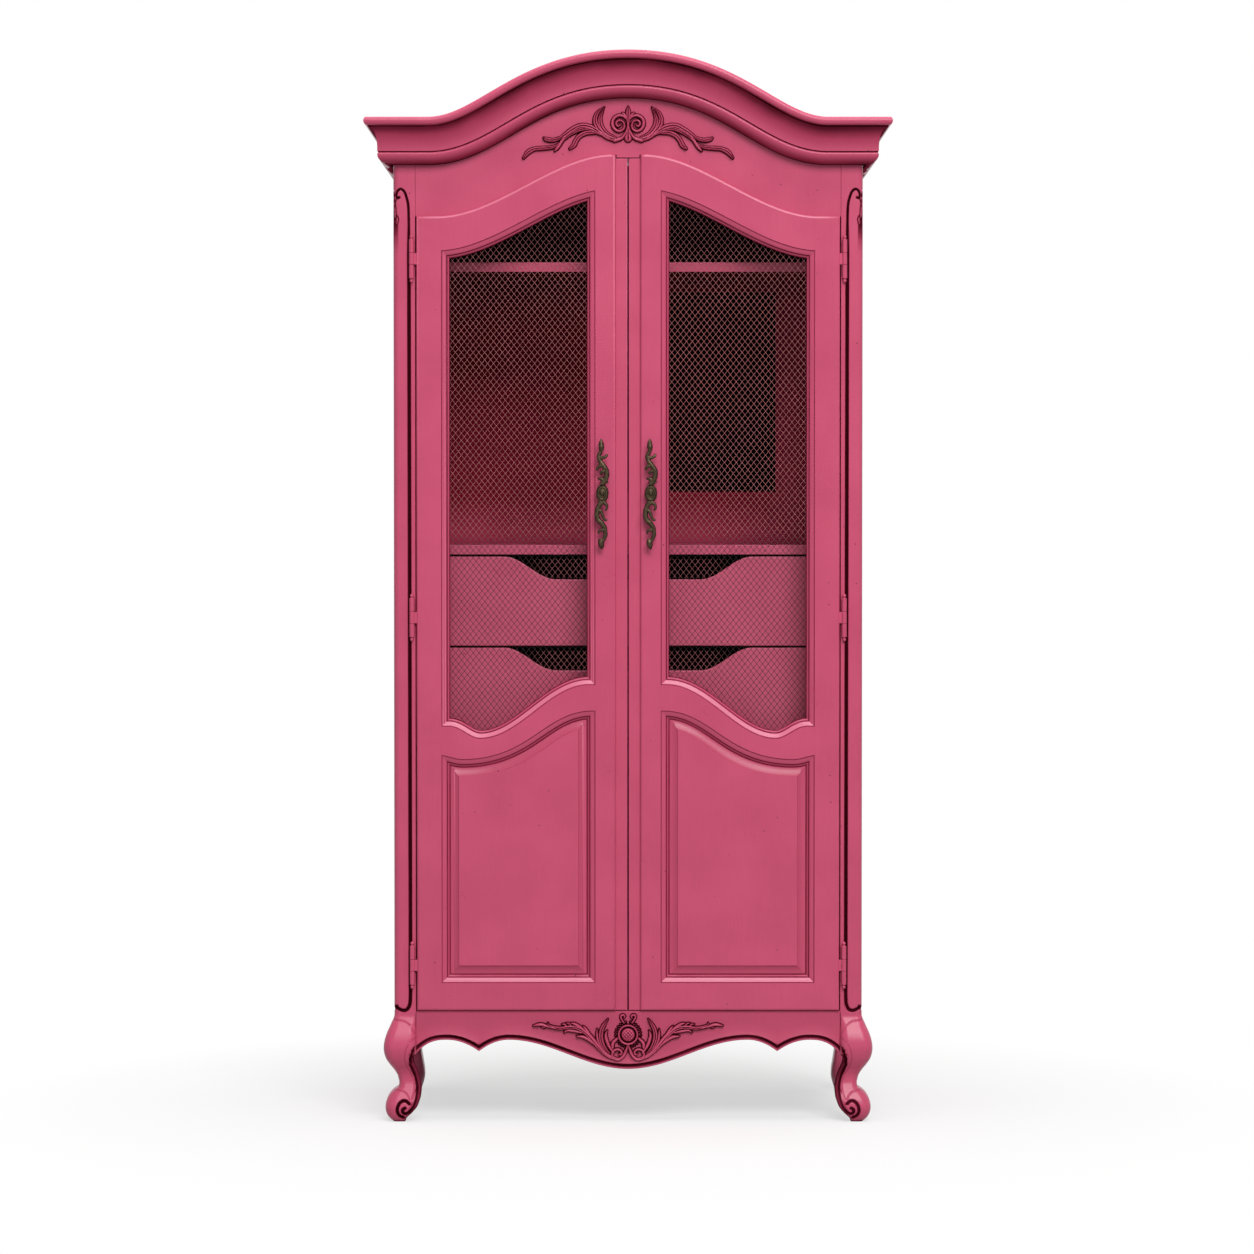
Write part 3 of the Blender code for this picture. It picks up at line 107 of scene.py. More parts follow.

# Front post lines as (mm in from the outer face, mm up), with half width and depth in mm, and darkness of
# glazing with painted shade in the groove
POST_LINES = [
    ([(12.5, 1893.5), (8.5, 1892), (6, 1897.5), (8.5, 1906), (15.3, 1910.5), (22.2, 1906), (26.4, 1896.5),
      (30.6, 1879), (31.8, 1847.6), (32, 1800)], 3, 3, 1),
    ([(32, 1800), (33.6, 300)], 4.3, 3.6, 1.1),
    ([(33.6, 300), (33.2, 252), (31.2, 238.5), (26.8, 230.8), (20.6, 228.3), (14, 229.6), (7, 233.2),
      (0, 237)], 4.2, 3.6, 1),
    ([(57.1, 163.1), (44, 152.9), (37.2, 139.7), (34.3, 123.6), (37.2, 107.5), (44, 91.4), (47.5, 73.8),
      (47.5, 56.2), (44, 40.1), (37.2, 26.4), (29.3, 19.6), (22.6, 17.3), (17.6, 21.1), (18.2, 26.4),
      (22.6, 29)], 4, 3.4, 1),
    ([(30.8, 38.1), (25.5, 42.8), (19.1, 43.9), (12.6, 40.1), (7.9, 32.2), (6.8, 22.5), (10.9, 13.8),
      (19.1, 9.4)], 4, 3.2, 1),
    ([(1.5, 65), (14.7, 63.5), (24.9, 57.7), (31.7, 46)], 2, 1, 0.25),
    ([(45.4, 174), (33.1, 164.6), (24.9, 149.9), (22, 132.4), (25.5, 114.8), (34.3, 97.2), (40.2, 79.7),
      (39.6, 62.1), (35.2, 47.4)], 1.8, 0.9, 0.25),
    ([(0, 209.5), (5.9, 208.5), (20.5, 206.5), (33.7, 196.8), (42.5, 182.2)], 2, 0.9, 0.3),
    ([(1, 1856), (3.5, 1844), (2.8, 1830), (1, 1818)], 1.5, 1.2, 0.8),
    ([(1.5, 1890), (5.2, 1872), (6, 1852), (4.5, 1824), (1.5, 1795)], 1.5, 1.2, 0.8),
    ([(6.5, 1858), (11, 1850), (9, 1839), (5.5, 1833)], 1.8, 1.2, 0.8),
]

# Doors
DOOR_THICK = DOOR_REAR - DOOR_FACE
DOOR_GAP = 0.0015
DOOR_LAP = 0.0019
DOOR_SHOULDER = (0.389, 1.853)
DOOR_CREST = (0.031, 1.979)
STRIP_EDGE = DOOR_INNER + 0.024
STRIP_STEP = 0.008
STRIP_DROP = 0.006
HINGE_EDGE = DOOR_OUTER - 0.0512
MEETING_EDGE = STRIP_EDGE + 0.0418
TOP_RAIL = 0.068
PANEL_LOW = DOOR_BOTTOM + 0.057
MOULD_WIDTH = 0.0172
MOULD_DEPTH = 0.011
# Darkness over a door moulding by share of its width: glazing in the quirks along with painted shade.
MOULD_GLAZE_AND_SHADE = [(0.0, 0.85), (0.06, 0.6), (0.13, 0.0), (0.57, 0.05), (0.65, 0.85), (0.70, 0.6), (0.78, 0.1),
               (0.88, 0.2), (1.0, 1.0)]
SEAT_DEPTH = 0.015
SEAT_LAP = 0.008
SILL_SHOULDER = (0.366, 0.812)
SILL_DIP = (0.3025, 0.787)
SILL_CREST = (0.080, 0.897)
PANEL_SHOULDER = (0.386, 0.7535)
PANEL_DIP = (0.339, 0.7452)
PANEL_CREST = (0.0724, 0.8446)
FIELD_MARGIN = 0.017
MITRE_REACH = 1.5 * MOULD_WIDTH
MITRE_GAP = 0.00003
BEYOND = 0.020
OVERHEAD = CORNICE_TOP + BONNET_RISE + BEYOND

# Apron
APRON_ARCH = 0.168
APRON_CUSP = 0.1445
APRON_CENTRE = 0.108
APRON_END = 0.140
APRON_END_BEND = 2.6
APRON_OUTER_ARCH_AT = 0.372
APRON_CUSP_AT = 0.306
APRON_INNER_ARCH_AT = 0.245

# Hinges
HINGE_RADIUS = 0.005
HINGE_X = POST_INNER + 0.0075
HINGE_Y = FRONT - HINGE_RADIUS - FIT
HINGE_LENGTH = 0.080
HINGE_FINIAL = 0.009
HINGE_HEIGHTS = {"top": 1.768, "middle": 1.035, "bottom": 0.322}
KNUCKLE = 0.3 * HINGE_LENGTH
LEAF = 0.002
LEAF_REACH = 0.022

# Drawers and handles
SCOOP_HALF = 0.256
SCOOP_FLAT = 0.150
SCOOP_DEPTH = 0.047
HANDLE_AT = {"left": 0.053, "right": 0.046}
HANDLE_HEIGHT = 1.289
HANDLE_STAND = 0.017
HANDLE_POSTS = ((-0.003, 0.062), (0.002, -0.064))

# Carved sprays, each stroke a row of (pixels across, pixels down, half width) in a drawing of its left half
CARVING_FULLNESS = 1.18
FRIEZE_LIMITS = (0.225, 1.965, 2.095)
FRIEZE_DRAWING = (0.0003138, 778.0, 233.0, 2.030)
FRIEZE_STROKES = [
    [(735, 285, 8), (690, 292, 12), (640, 275, 15), (595, 235, 17), (568, 190, 16), (566, 150, 13),
     (585, 115, 10), (625, 82, 3)],
    [(690, 280, 8), (640, 255, 12), (605, 215, 15), (595, 175, 14), (600, 140, 10), (622, 90, 3)],
    [(650, 285, 8), (590, 245, 13), (530, 212, 15), (470, 205, 15), (415, 230, 15), (370, 262, 13),
     (340, 282, 10), (290, 298, 12), (245, 292, 12), (230, 282, 6)],
    [(600, 260, 8), (540, 232, 11), (490, 225, 11), (440, 240, 11), (395, 265, 10), (350, 300, 9),
     (330, 325, 9), (280, 345, 10), (220, 350, 12), (170, 355, 12), (130, 375, 14), (98, 412, 8)],
    [(560, 250, 9), (510, 250, 13), (465, 270, 14), (440, 300, 14), (425, 330, 14), (400, 352, 8)],
    [(370, 270, 7), (345, 310, 10), (320, 345, 11), (300, 368, 5)],
    [(770, 165, 5), (745, 142, 9), (715, 138, 10), (685, 158, 10), (676, 192, 11), (690, 225, 10),
     (722, 240, 9), (750, 222, 8), (752, 192, 7), (735, 172, 7), (712, 172, 8), (700, 190, 8), (712, 208, 7),
     (728, 200, 5)],
    [(778, 165, 6), (778, 130, 15), (778, 100, 12), (778, 75, 2)],
    [(775, 160, 5), (755, 135, 10), (740, 122, 6)],
    [(778, 220, 6), (778, 255, 14), (778, 285, 22), (778, 302, 4)],
    [(772, 170, 6), (776, 205, 6), (765, 245, 8), (735, 285, 10), (690, 300, 12)],
]
APRON_LIMITS = (0.205, 0.118, 0.224)
APRON_DRAWING = (0.0003007, 797.0, 229.6, 0.179)
APRON_STROKES = [
    [(720, 395, 10), (665, 375, 14), (610, 330, 15), (560, 275, 15), (510, 220, 14), (455, 185, 13),
     (400, 178, 12), (340, 185, 11), (290, 180, 10), (255, 165, 8), (250, 148, 4)],
    [(690, 392, 8), (640, 355, 11), (590, 300, 12), (540, 240, 12), (490, 195, 11), (440, 160, 10),
     (410, 150, 5)],
    [(795, 300, 6), (782, 340, 10), (765, 375, 12), (735, 398, 12), (700, 392, 10), (688, 365, 9),
     (700, 338, 9), (730, 330, 9), (752, 345, 9), (748, 365, 8), (735, 362, 6)],
    [(668, 360, 8), (630, 310, 13), (612, 255, 15), (615, 205, 14), (632, 165, 12), (660, 122, 4)],
    [(700, 355, 7), (668, 310, 11), (650, 265, 12), (645, 230, 10), (655, 200, 4)],
    [(640, 345, 6), (600, 290, 9), (585, 235, 9), (585, 190, 4)],
    [(575, 300, 9), (530, 265, 12), (490, 245, 11), (447, 240, 5)],
    [(480, 215, 8), (430, 205, 10), (385, 200, 9), (362, 215, 5)],
    [(540, 235, 8), (510, 195, 10), (490, 170, 4)],
    [(290, 182, 8), (245, 172, 9), (200, 160, 11), (150, 168, 5)],
    [(225, 182, 6), (205, 178, 4)],
    [(380, 180, 7), (365, 160, 7), (345, 158, 4)],
    [(420, 185, 7), (395, 155, 7), (375, 150, 4)],
    [(725, 255, 8), (695, 285, 12), (690, 320, 10)],
    [(770, 150, 6), (752, 125, 8), (748, 103, 8), (762, 95, 8), (775, 105, 7), (768, 118, 5)],
]

# Handle strokes as rows of (pixels across, pixels down, half width, forward share) in a drawing
HANDLE_DRAWING = (0.000205, 165.0, 622.0)
HANDLE_STROKES = [
    [(157, 78, 3, 0.4), (155, 110, 17, 0.6), (158, 160, 22, 0.7), (160, 205, 14, 0.6)],
    [(160, 205, 13, 0.5), (140, 228, 15, 0.5), (130, 255, 16, 0.5), (145, 300, 18, 0.6), (180, 350, 20, 0.7),
     (208, 395, 20, 0.7), (212, 440, 20, 0.7), (190, 495, 21, 0.7), (160, 535, 22, 0.6)],
    [(140, 262, 12, 0.7), (172, 268, 12, 0.9), (200, 256, 12, 0.9), (214, 240, 9, 0.8), (205, 228, 7, 0.8)],
    [(182, 348, 13, 0.9), (150, 348, 13, 1.0), (126, 362, 12, 0.9), (114, 385, 10, 0.8), (124, 398, 6, 0.8)],
    [(205, 395, 12, 1.0), (180, 400, 13, 1.1), (155, 412, 11, 1.0), (150, 428, 8, 0.9), (166, 434, 6, 0.9)],
    [(185, 492, 13, 0.9), (155, 478, 13, 1.0), (135, 470, 9, 0.9), (126, 484, 6, 0.8)],
    [(185, 500, 11, 0.8), (210, 512, 10, 0.9), (228, 508, 5, 0.8)],
    [(160, 700, 18, 0.6), (138, 735, 18, 0.6), (117, 790, 19, 0.7), (112, 835, 19, 0.7), (126, 882, 20, 0.7),
     (162, 922, 20, 0.7), (192, 972, 18, 0.6), (200, 1030, 16, 0.6), (182, 1078, 14, 0.5),
     (165, 1095, 13, 0.5)],
    [(168, 700, 16, 0.8), (195, 722, 14, 0.9), (212, 745, 12, 0.9), (214, 772, 10, 0.9), (195, 794, 8, 0.8)],
    [(140, 742, 10, 1.0), (165, 722, 12, 1.1), (190, 712, 9, 1.0)],
    [(122, 790, 10, 0.9), (150, 795, 12, 1.0), (166, 830, 12, 1.0), (182, 872, 11, 1.0), (204, 890, 9, 0.9),
     (215, 878, 6, 0.9)],
    [(195, 985, 11, 0.9), (165, 985, 12, 1.0), (138, 996, 10, 0.9), (126, 1014, 7, 0.8), (138, 1024, 5, 0.8)],
    [(150, 1075, 16, 0.5), (152, 1110, 24, 0.7), (160, 1145, 20, 0.6), (165, 1180, 6, 0.4)],
]


# Small tools
def linear(hexed):
    """An sRGB hex colour as linear red, green, blue and 1."""
    shares = [int(hexed[at:at + 2], 16) / 255 for at in (1, 3, 5)]
    return (*[c / 12.92 if c <= 0.04045 else ((c + 0.055) / 1.055) ** 2.4 for c in shares], 1.0)


def spaced(start, end, count):
    return [start + (end - start) * index / count for index in range(count + 1)]


def around(count):
    return spaced(0.0, 2 * math.pi, count)[:-1]


def cubic(share, first, second, third, fourth):
    rest = 1.0 - share
    return (rest ** 3 * first + 3 * rest * rest * share * second
            + 3 * rest * share * share * third + share ** 3 * fourth)


def ogee(at, start, end, start_pull=0.36, end_pull=0.36):
    """Height of an S-curve that is level at both of its ends."""
    share = (at - start[0]) / (end[0] - start[0])
    if share <= 0.0 or share >= 1.0:
        return start[1] if share <= 0.0 else end[1]
    low, high = 0.0, 1.0
    for _ in range(40):
        middle = (low + high) / 2
        under = cubic(middle, 0.0, start_pull, 1.0 - end_pull, 1.0) < share
        low, high = (middle, high) if under else (low, middle)
    return start[1] + (end[1] - start[1]) * (3 * low * low - 2 * low ** 3)


def through(keys, at):
    """A smooth value through (position, value) keys."""
    if at <= keys[0][0]:
        return keys[0][1]
    for index, ((start, first), (end, last)) in enumerate(zip(keys, keys[1:])):
        if at <= end:
            before, after = keys[max(index - 1, 0)], keys[min(index + 2, len(keys) - 1)]
            span = end - start
            lead = (last - before[1]) / (end - before[0]) * span
            trail = (after[1] - first) / (after[0] - start) * span
            return cubic((at - start) / span, first, first + lead / 3, last - trail / 3, last)
    return keys[-1][1]


def traced(points, step):
    """A smooth line through points of any width of row, with a sample about every step."""
    keys = np.array(points, float)
    padded = np.vstack([2 * keys[0] - keys[1], keys, 2 * keys[-1] - keys[-2]])
    rows = []
    for first, second, third, fourth in zip(padded, padded[1:], padded[2:], padded[3:]):
        count = max(1, int(np.linalg.norm((third - second)[:2]) / step))
        for share in np.arange(count) / count:
            rows.append(0.5 * (2 * second + (third - first) * share
                               + (2 * first - 5 * second + 4 * third - fourth) * share ** 2
                               + (3 * second - first - 3 * third + fourth) * share ** 3))
    return np.array(rows + [keys[-1]])


def distance_to(line, across, up):
    """Distance of every (across, up) from a polyline."""
    nearest = np.full(across.shape, 1e3)
    for (x0, z0), (x1, z1) in zip(line[:-1], line[1:]):
        run, climb = x1 - x0, z1 - z0
        length = max(run * run + climb * climb, 1e-12)
        share = np.clip(((across - x0) * run + (up - z0) * climb) / length, 0.0, 1.0)
        nearest = np.minimum(nearest, np.hypot(across - x0 - share * run, up - z0 - share * climb))
    return nearest


# Curves of the front
def door_top(at):
    return ogee(at, DOOR_SHOULDER, DOOR_CREST, 1 / 3, 1 / 3)


def mesh_head(at):
    return door_top(at) - TOP_RAIL


def mesh_sill(at):
    return ogee(at, SILL_DIP, SILL_SHOULDER if at > SILL_DIP[0] else SILL_CREST)


def panel_head(at):
    if at > PANEL_DIP[0]:
        return ogee(at, PANEL_DIP, PANEL_SHOULDER)
    return ogee(at, PANEL_DIP, PANEL_CREST, 0.52, 0.37)


def panel_sill(at):
    return PANEL_LOW


def apron_edge(at):
    at = abs(at)
    if at < APRON_INNER_ARCH_AT:
        return ogee(at, (0.0, APRON_CENTRE), (APRON_INNER_ARCH_AT, APRON_ARCH))
    arch_at = APRON_INNER_ARCH_AT if at < APRON_CUSP_AT else APRON_OUTER_ARCH_AT
    if at < APRON_OUTER_ARCH_AT:
        return APRON_ARCH - (APRON_ARCH - APRON_CUSP) * ((at - arch_at) / (APRON_CUSP_AT - arch_at)) ** 2
    reach = (at - arch_at) / (POST_INNER - arch_at)
    return APRON_ARCH - (APRON_ARCH - APRON_END) * reach ** APRON_END_BEND


def bonnet_point(share):
    at = cubic(share, BONNET_HALF, BONNET_HALF - BONNET_SHOULDER_PULL, BONNET_CROWN_PULL, 0.0)
    return at, CORNICE_TOP + BONNET_RISE * (3 * share ** 2 - 2 * share ** 3)


def bonnet_path(drop, count):
    """Points along one half of the bonnet, lowered square to the curve by drop, from crown to shoulder."""
    points = []
    for share in spaced(1.0, 0.0, count):
        at, height = bonnet_point(share)
        near = bonnet_point(max(share - 0.001, 0.0))
        far = bonnet_point(min(share + 0.001, 1.0))
        run, climb = far[0] - near[0], far[1] - near[1]
        length = math.hypot(run, climb)
        points.append((at - climb / length * drop, height + run / length * drop))
    return points


def shifted(curve, at, offset, upward):
    slope = (curve(at + 0.0005) - curve(at - 0.0005)) / 0.001
    return curve(at) + upward * offset * math.sqrt(1.0 + slope * slope)


UPPER_OPENING = (mesh_sill, mesh_head)
LOWER_OPENING = (panel_sill, panel_head)
OPENINGS = (UPPER_OPENING, LOWER_OPENING)


def opening_loop(opening, offset, count=56):
    """Outline of a door opening drawn in by offset: along the sill, then back along the head."""
    sill, head = opening
    ats = spaced(HINGE_EDGE - offset, MEETING_EDGE + offset, count)
    low = [(at, shifted(sill, at, offset, 1)) for at in ats]
    return low + [(at, shifted(head, at, offset, -1)) for at in ats[::-1]]


# Mesh making
def worked(mesh, change):
    """A mesh after a change made to it in a bmesh."""
    work = bmesh.new()
    work.from_mesh(mesh)
    change(work)
    work.to_mesh(mesh)
    work.free()
    return mesh


def marked(mesh, glaze_and_painted_light):
    """A mesh with a value at each point: above zero for dark glazing and painted shade, below zero for
    painted highlight.
    """
    values = mesh.attributes.new("glaze_and_painted_light", "FLOAT", "POINT")
    values.data.foreach_set("value", np.asarray(glaze_and_painted_light, np.float32).ravel())
    return mesh


def meshed(name, points, faces, glaze_and_painted_light=None):
    """A closed mesh with faces outwards."""
    mesh = bpy.data.meshes.new(name)
    mesh.from_pydata([tuple(map(float, point)) for point in points], [],
                     [tuple(map(int, face)) for face in faces])
    if glaze_and_painted_light is not None:
        marked(mesh, glaze_and_painted_light)
    return worked(mesh, lambda work: bmesh.ops.recalc_face_normals(work, faces=work.faces))


def rings_joined(name, rings, glaze_and_painted_light=None):
    """Rings of equal count joined in order and closed at both ends."""
    rings = np.asarray(rings, float)
    levels, count = rings.shape[:2]
    near = np.arange(count)
    far = (near + 1) % count
    faces = []
    for low in range(0, (levels - 1) * count, count):
        faces.extend(np.stack([low + near, low + far, low + count + far, low + count + near], 1))
    return meshed(name, rings.reshape(-1, 3), faces + [near, (levels - 1) * count + near], glaze_and_painted_light)


def drawn_in(outline, amount):
    """An outline moved inwards by amount, square to its edges."""
    points = np.array(outline, float)
    ahead = np.roll(points, -1, 0) - points
    ahead /= np.linalg.norm(ahead, axis=1)[:, None]
    turn = np.sum(points[:, 0] * np.roll(points[:, 1], -1) - np.roll(points[:, 0], -1) * points[:, 1])
    inward = np.sign(turn) * np.stack([-ahead[:, 1], ahead[:, 0]], 1)
    before = np.roll(inward, 1, 0)
    share = np.maximum(1.0 + np.sum(inward * before, 1), 0.35)
    return points + (inward + before) * (amount / share)[:, None]


def rounded(ease):
    """(inset, depth) over a rounded front edge."""
    turns = spaced(0.0, math.pi / 2, 5)
    edge = [(ease * (1 - math.sin(turn)), ease * (1 - math.cos(turn))) for turn in turns]
    return [(ease + RIM, 0.0)] + edge


def edge_ring(outline, inset, depth):
    moved = drawn_in(outline, inset) if inset > 0.0 else np.array(outline, float)
    return np.insert(moved, 1, depth, axis=1)


def slab(name, outline, front, back, ease, rear_ease=0.0005):
    """A board with an outline in X and Z, its front edge rounded and its rear edge broken."""
    deep = back - front
    steps = rounded(ease) + [(0.0, deep - rear_ease), (rear_ease, deep), (rear_ease + RIM, deep)]
    return rings_joined(name, [edge_ring(outline, inset, front + depth) for inset, depth in steps])


def held(mesh, name=""):
    holder = bpy.data.objects.new(name or mesh.name, mesh)
    bpy.context.scene.collection.objects.link(holder)
    return holder


def changed(holder, name, kind, **settings):
    """A new modifier of an object with its settings."""
    change = holder.modifiers.new(name, kind)
    for setting, value in settings.items():
        setattr(change, setting, value)
    return change


def settled(holder):
    """The plain mesh that an object's modifiers make; the object goes."""
    graph = bpy.context.evaluated_depsgraph_get()
    mesh = bpy.data.meshes.new_from_object(holder.evaluated_get(graph))
    bpy.data.objects.remove(holder)
    return mesh


def carved(mesh, *steps):
    """A mesh after cutting it with (other mesh, operation) in turn."""
    holder = held(mesh)
    tools = [held(tool) for tool, _ in steps]
    for tool, (_, operation) in zip(tools, steps):
        changed(holder, operation, "BOOLEAN", operation=operation, object=tool, solver="EXACT")
    made = settled(holder)
    for tool in tools:
        bpy.data.objects.remove(tool)
    return made


def shaded(mesh, angle=35.0):
    """Smooth over soft edges, flat over flats."""
    mesh.shade_smooth()
    mesh.set_sharp_from_angle(angle=math.radians(angle))
    holder = held(mesh)
    changed(holder, "even", "WEIGHTED_NORMAL", keep_sharp=True, weight=60)
    return settled(holder)


def joined(name, meshes):
    work = bmesh.new()
    for mesh in meshes:
        work.from_mesh(mesh)
    made = bpy.data.meshes.new(name)
    work.to_mesh(made)
    work.free()
    return made


def handed(mesh, side):
    """A copy of a right-hand mesh, mirrored for the left side."""
    made = mesh.copy()
    if side < 0:
        made.transform(Matrix.Diagonal((-1.0, 1.0, 1.0, 1.0)))
        made.flip_normals()
    return made


def eased(node, width):
    """A packed board with its loose triangles merged into flat faces and its sharp edges sanded round."""
    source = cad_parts[node].data
    mesh = bpy.data.meshes.new(node)
    mesh.from_pydata([vert.co[:] for vert in source.vertices], [],
                     [face.vertices[:] for face in source.polygons])

    def merge(work):
        bmesh.ops.remove_doubles(work, verts=work.verts, dist=0.00001)
        bmesh.ops.dissolve_limit(work, angle_limit=math.radians(1.0), verts=work.verts, edges=work.edges)

    def sand(work):
        sharp = [edge for edge in work.edges
                 if edge.is_manifold and edge.calc_face_angle() > math.radians(30.0)]
        bmesh.ops.bevel(work, geom=sharp, offset=width, segments=3, profile=0.5, affect="EDGES",
                        clamp_overlap=True)

    return shaded(worked(worked(mesh, merge), sand))


def piece(name, mesh, node, body="carcass", coat="paint", slot="pink_paint"):
    """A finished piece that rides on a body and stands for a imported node."""
    mesh.materials.clear()
    mesh.materials.append(finish(coat))
    mesh.name = name
    made = held(mesh, name)
    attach(made, body)
    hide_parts(node)
    return made


# Finishes
def feed(tree, node, inputs):
    """Each input of a node either linked to a socket or set to a value."""
    for name, value in inputs.items():
        if isinstance(value, bpy.types.NodeSocket):
            tree.links.new(value, node.inputs[name])
        else:
            node.inputs[name].default_value = value


def add(tree, kind, inputs=None, **settings):
    """A node with its settings and inputs."""
    node = tree.nodes.new(kind)
    for name, value in settings.items():
        setattr(node, name, value)
    feed(tree, node, inputs or {})
    return node


def ramp(tree, value, start, end, low=0.0, high=1.0):
    return add(tree, "ShaderNodeMapRange", {0: value, 1: start, 2: end, 3: low, 4: high}).outputs[0]


def maths(tree, operation, *values, clamp=False):
    node = add(tree, "ShaderNodeMath", dict(enumerate(values)), operation=operation, use_clamp=clamp)
    return node.outputs[0]


def mix(tree, share, first, second):
    """One colour turning into another, each a socket or a hex."""
    ends = [linear(end) if isinstance(end, str) else end for end in (first, second)]
    return add(tree, "ShaderNodeMix", {0: share, 6: ends[0], 7: ends[1]}, data_type="RGBA").outputs[2]


def toned(tree, share, shade):
    """The deep colour of a setting turning into its plain one."""
    colours = bpy.context.scene.armoire_colours
    return mix(tree, share, getattr(colours, f"{shade}_deep"), getattr(colours, shade))


def noise(tree, place, millimetres, detail, distortion=0.0):
    return add(tree, "ShaderNodeTexNoise", {"Vector": place, "Scale": 1000.0 / millimetres, "Detail": detail,
                                            "Distortion": distortion}).outputs[0]


def stretched(tree, place, along):
    return add(tree, "ShaderNodeMapping", {"Vector": place, "Scale": along}).outputs[0]


def openness(tree, distance):
    return add(tree, "ShaderNodeAmbientOcclusion", {"Distance": distance}, samples=8).outputs["AO"]


def bump(tree, height, strength, distance):
    inputs = {"Height": height, "Strength": strength, "Distance": distance}
    return add(tree, "ShaderNodeBump", inputs).outputs[0]


def axes(tree, place):
    return add(tree, "ShaderNodeSeparateXYZ", {0: place}).outputs


def started(name):
    made = bpy.data.materials.new(name)
    made.use_nodes = True
    return made, made.node_tree, add(made.node_tree, "ShaderNodeTexCoord").outputs["Object"]


def coated(made, colour, rough, shine=0.5, relief=None, metallic=0.0):
    """The material with its shader's inputs."""
    tree = made.node_tree
    inputs = {"Base Color": colour, "Roughness": rough, "Specular IOR Level": shine, "Metallic": metallic}
    if relief:
        inputs["Normal"] = relief
    feed(tree, tree.nodes["Principled BSDF"], inputs)
    return made


def pink_paint(name, shade):
    """Brushed satin paint: cloudy pink, brush lines, dark glazing and painted shade in recesses, painted
    highlight on marked edges, dark specks.
    """
    colours = bpy.context.scene.armoire_colours
    made, tree, place = started(name)
    cloud = noise(tree, place, 110, 4.0)
    brush = noise(tree, stretched(tree, place, (1.0, 1.0, 0.05)), 2.2, 3.0)
    base = toned(tree, ramp(tree, cloud, 0.32, 0.68), shade)
    lines = ramp(tree, brush, 0.35, 0.65, 0.98, 1.012)
    brushed = add(tree, "ShaderNodeVectorMath", {0: base, 1: lines}, operation="MULTIPLY").outputs[0]
    cells = add(tree, "ShaderNodeTexVoronoi", {"Vector": place, "Scale": 1000.0 / 26})
    picked = add(tree, "ShaderNodeSeparateColor", {0: cells.outputs["Color"]}).outputs[0]
    spot = ramp(tree, cells.outputs["Distance"], 0.075, 0.035)
    speck = maths(tree, "MULTIPLY", spot, maths(tree, "GREATER_THAN", picked, 0.72))
    specked = mix(tree, maths(tree, "MULTIPLY", speck, 0.75), brushed, colours.glaze_and_painted_light)
    marks = add(tree, "ShaderNodeAttribute", attribute_name="glaze_and_painted_light").outputs["Fac"]
    kept = maths(tree, "MULTIPLY", marks, ramp(tree, cloud, 0.3, 0.7, 0.8, 1.1))
    # Painted shade: occlusion darkens the paint in creases and between parts, along with the marked glazing.
    crevice_glaze_and_shade = ramp(tree, openness(tree, 0.008), 0.62, 0.2, 0.0, 0.55)
    glaze_and_painted_light = maths(tree, "MAXIMUM", kept, crevice_glaze_and_shade, clamp=True)
    red = mix(tree, glaze_and_painted_light, specked, colours.thin_glaze_and_shade)
    dark = mix(tree, ramp(tree, glaze_and_painted_light, 0.4, 0.95), red, colours.glaze_and_painted_light)
    # Painted highlight: marks below zero turn the paint paler pink.
    pale = mix(tree, ramp(tree, marks, 0.0, -1.0), dark, colours.painted_light)
    return coated(made, pale, ramp(tree, cloud, 0.3, 0.7, 0.27, 0.37), ramp(tree, glaze_and_painted_light, 0.1, 0.45, 0.3, 0.0),
                  bump(tree, brush, 0.05, 0.0003))


def maroon_paint():
    """Thin matt paint inside: cloudy dark red, nearly black as painted shade at the top and round the
    drawers, pinker as painted light by the lower shelf and at the right end.
    """
    colours = bpy.context.scene.armoire_colours
    made, tree, place = started("matt maroon paint")
    base = toned(tree, noise(tree, place, 140, 5.0), "inside")
    across, _, height = axes(tree, place)
    # Painted shade: nearly black above the upper shelf and round the drawers below the lower shelf.
    top = ramp(tree, height, UPPER_SHELF - 0.10, UPPER_SHELF + 0.03, 0.0, 0.93)
    bay = ramp(tree, height, LOWER_SHELF, LOWER_SHELF - 0.01, 0.0, 0.9)
    dark = mix(tree, maths(tree, "MAXIMUM", top, bay), base, colours.shadow)
    # Painted light: pinker just above the lower shelf and towards the right end.
    foot = ramp(tree, height, LOWER_SHELF + 0.095, LOWER_SHELF + 0.02, 0.0, 0.6)
    most = maths(tree, "MAXIMUM", foot, ramp(tree, across, 0.27, 0.35, 0.0, 0.45))
    lit = maths(tree, "SUBTRACT", maths(tree, "GREATER_THAN", height, LOWER_SHELF), top, clamp=True)
    spill_lit = mix(tree, maths(tree, "MULTIPLY", most, lit), dark, colours.paint_deep)
    return coated(made, spill_lit, 0.6, 0.0, bump(tree, noise(tree, place, 1.5, 2.0), 0.15, 0.0003))


def stained(name, shade, grain_mm, along, shine=0.0):
    """Sawn wood: long grain streaks along one direction, lighter and darker bands."""
    made, tree, place = started(name)
    grain = noise(tree, stretched(tree, place, along), grain_mm, 5.0, 0.6)
    base = toned(tree, ramp(tree, grain, 0.3, 0.7), shade)
    return coated(made, base, 0.62, shine, bump(tree, grain, 0.2, 0.0004))


def worn_metal(name, shade, rough, patch_mm):
    """Cast or drawn metal: darker patina in patches and in the crevices, brighter where it is handled."""
    made, tree, place = started(name)
    patch = noise(tree, place, patch_mm, 5.0)
    both = maths(tree, "MULTIPLY", ramp(tree, openness(tree, 0.005), 0.35, 0.9), patch)
    base = toned(tree, ramp(tree, both, 0.1, 0.6), shade)
    gloss = ramp(tree, patch, 0.3, 0.7, rough + 0.1, rough - 0.05)
    return coated(made, base, gloss, 0.5, bump(tree, patch, 0.25, 0.0004), 1.0)


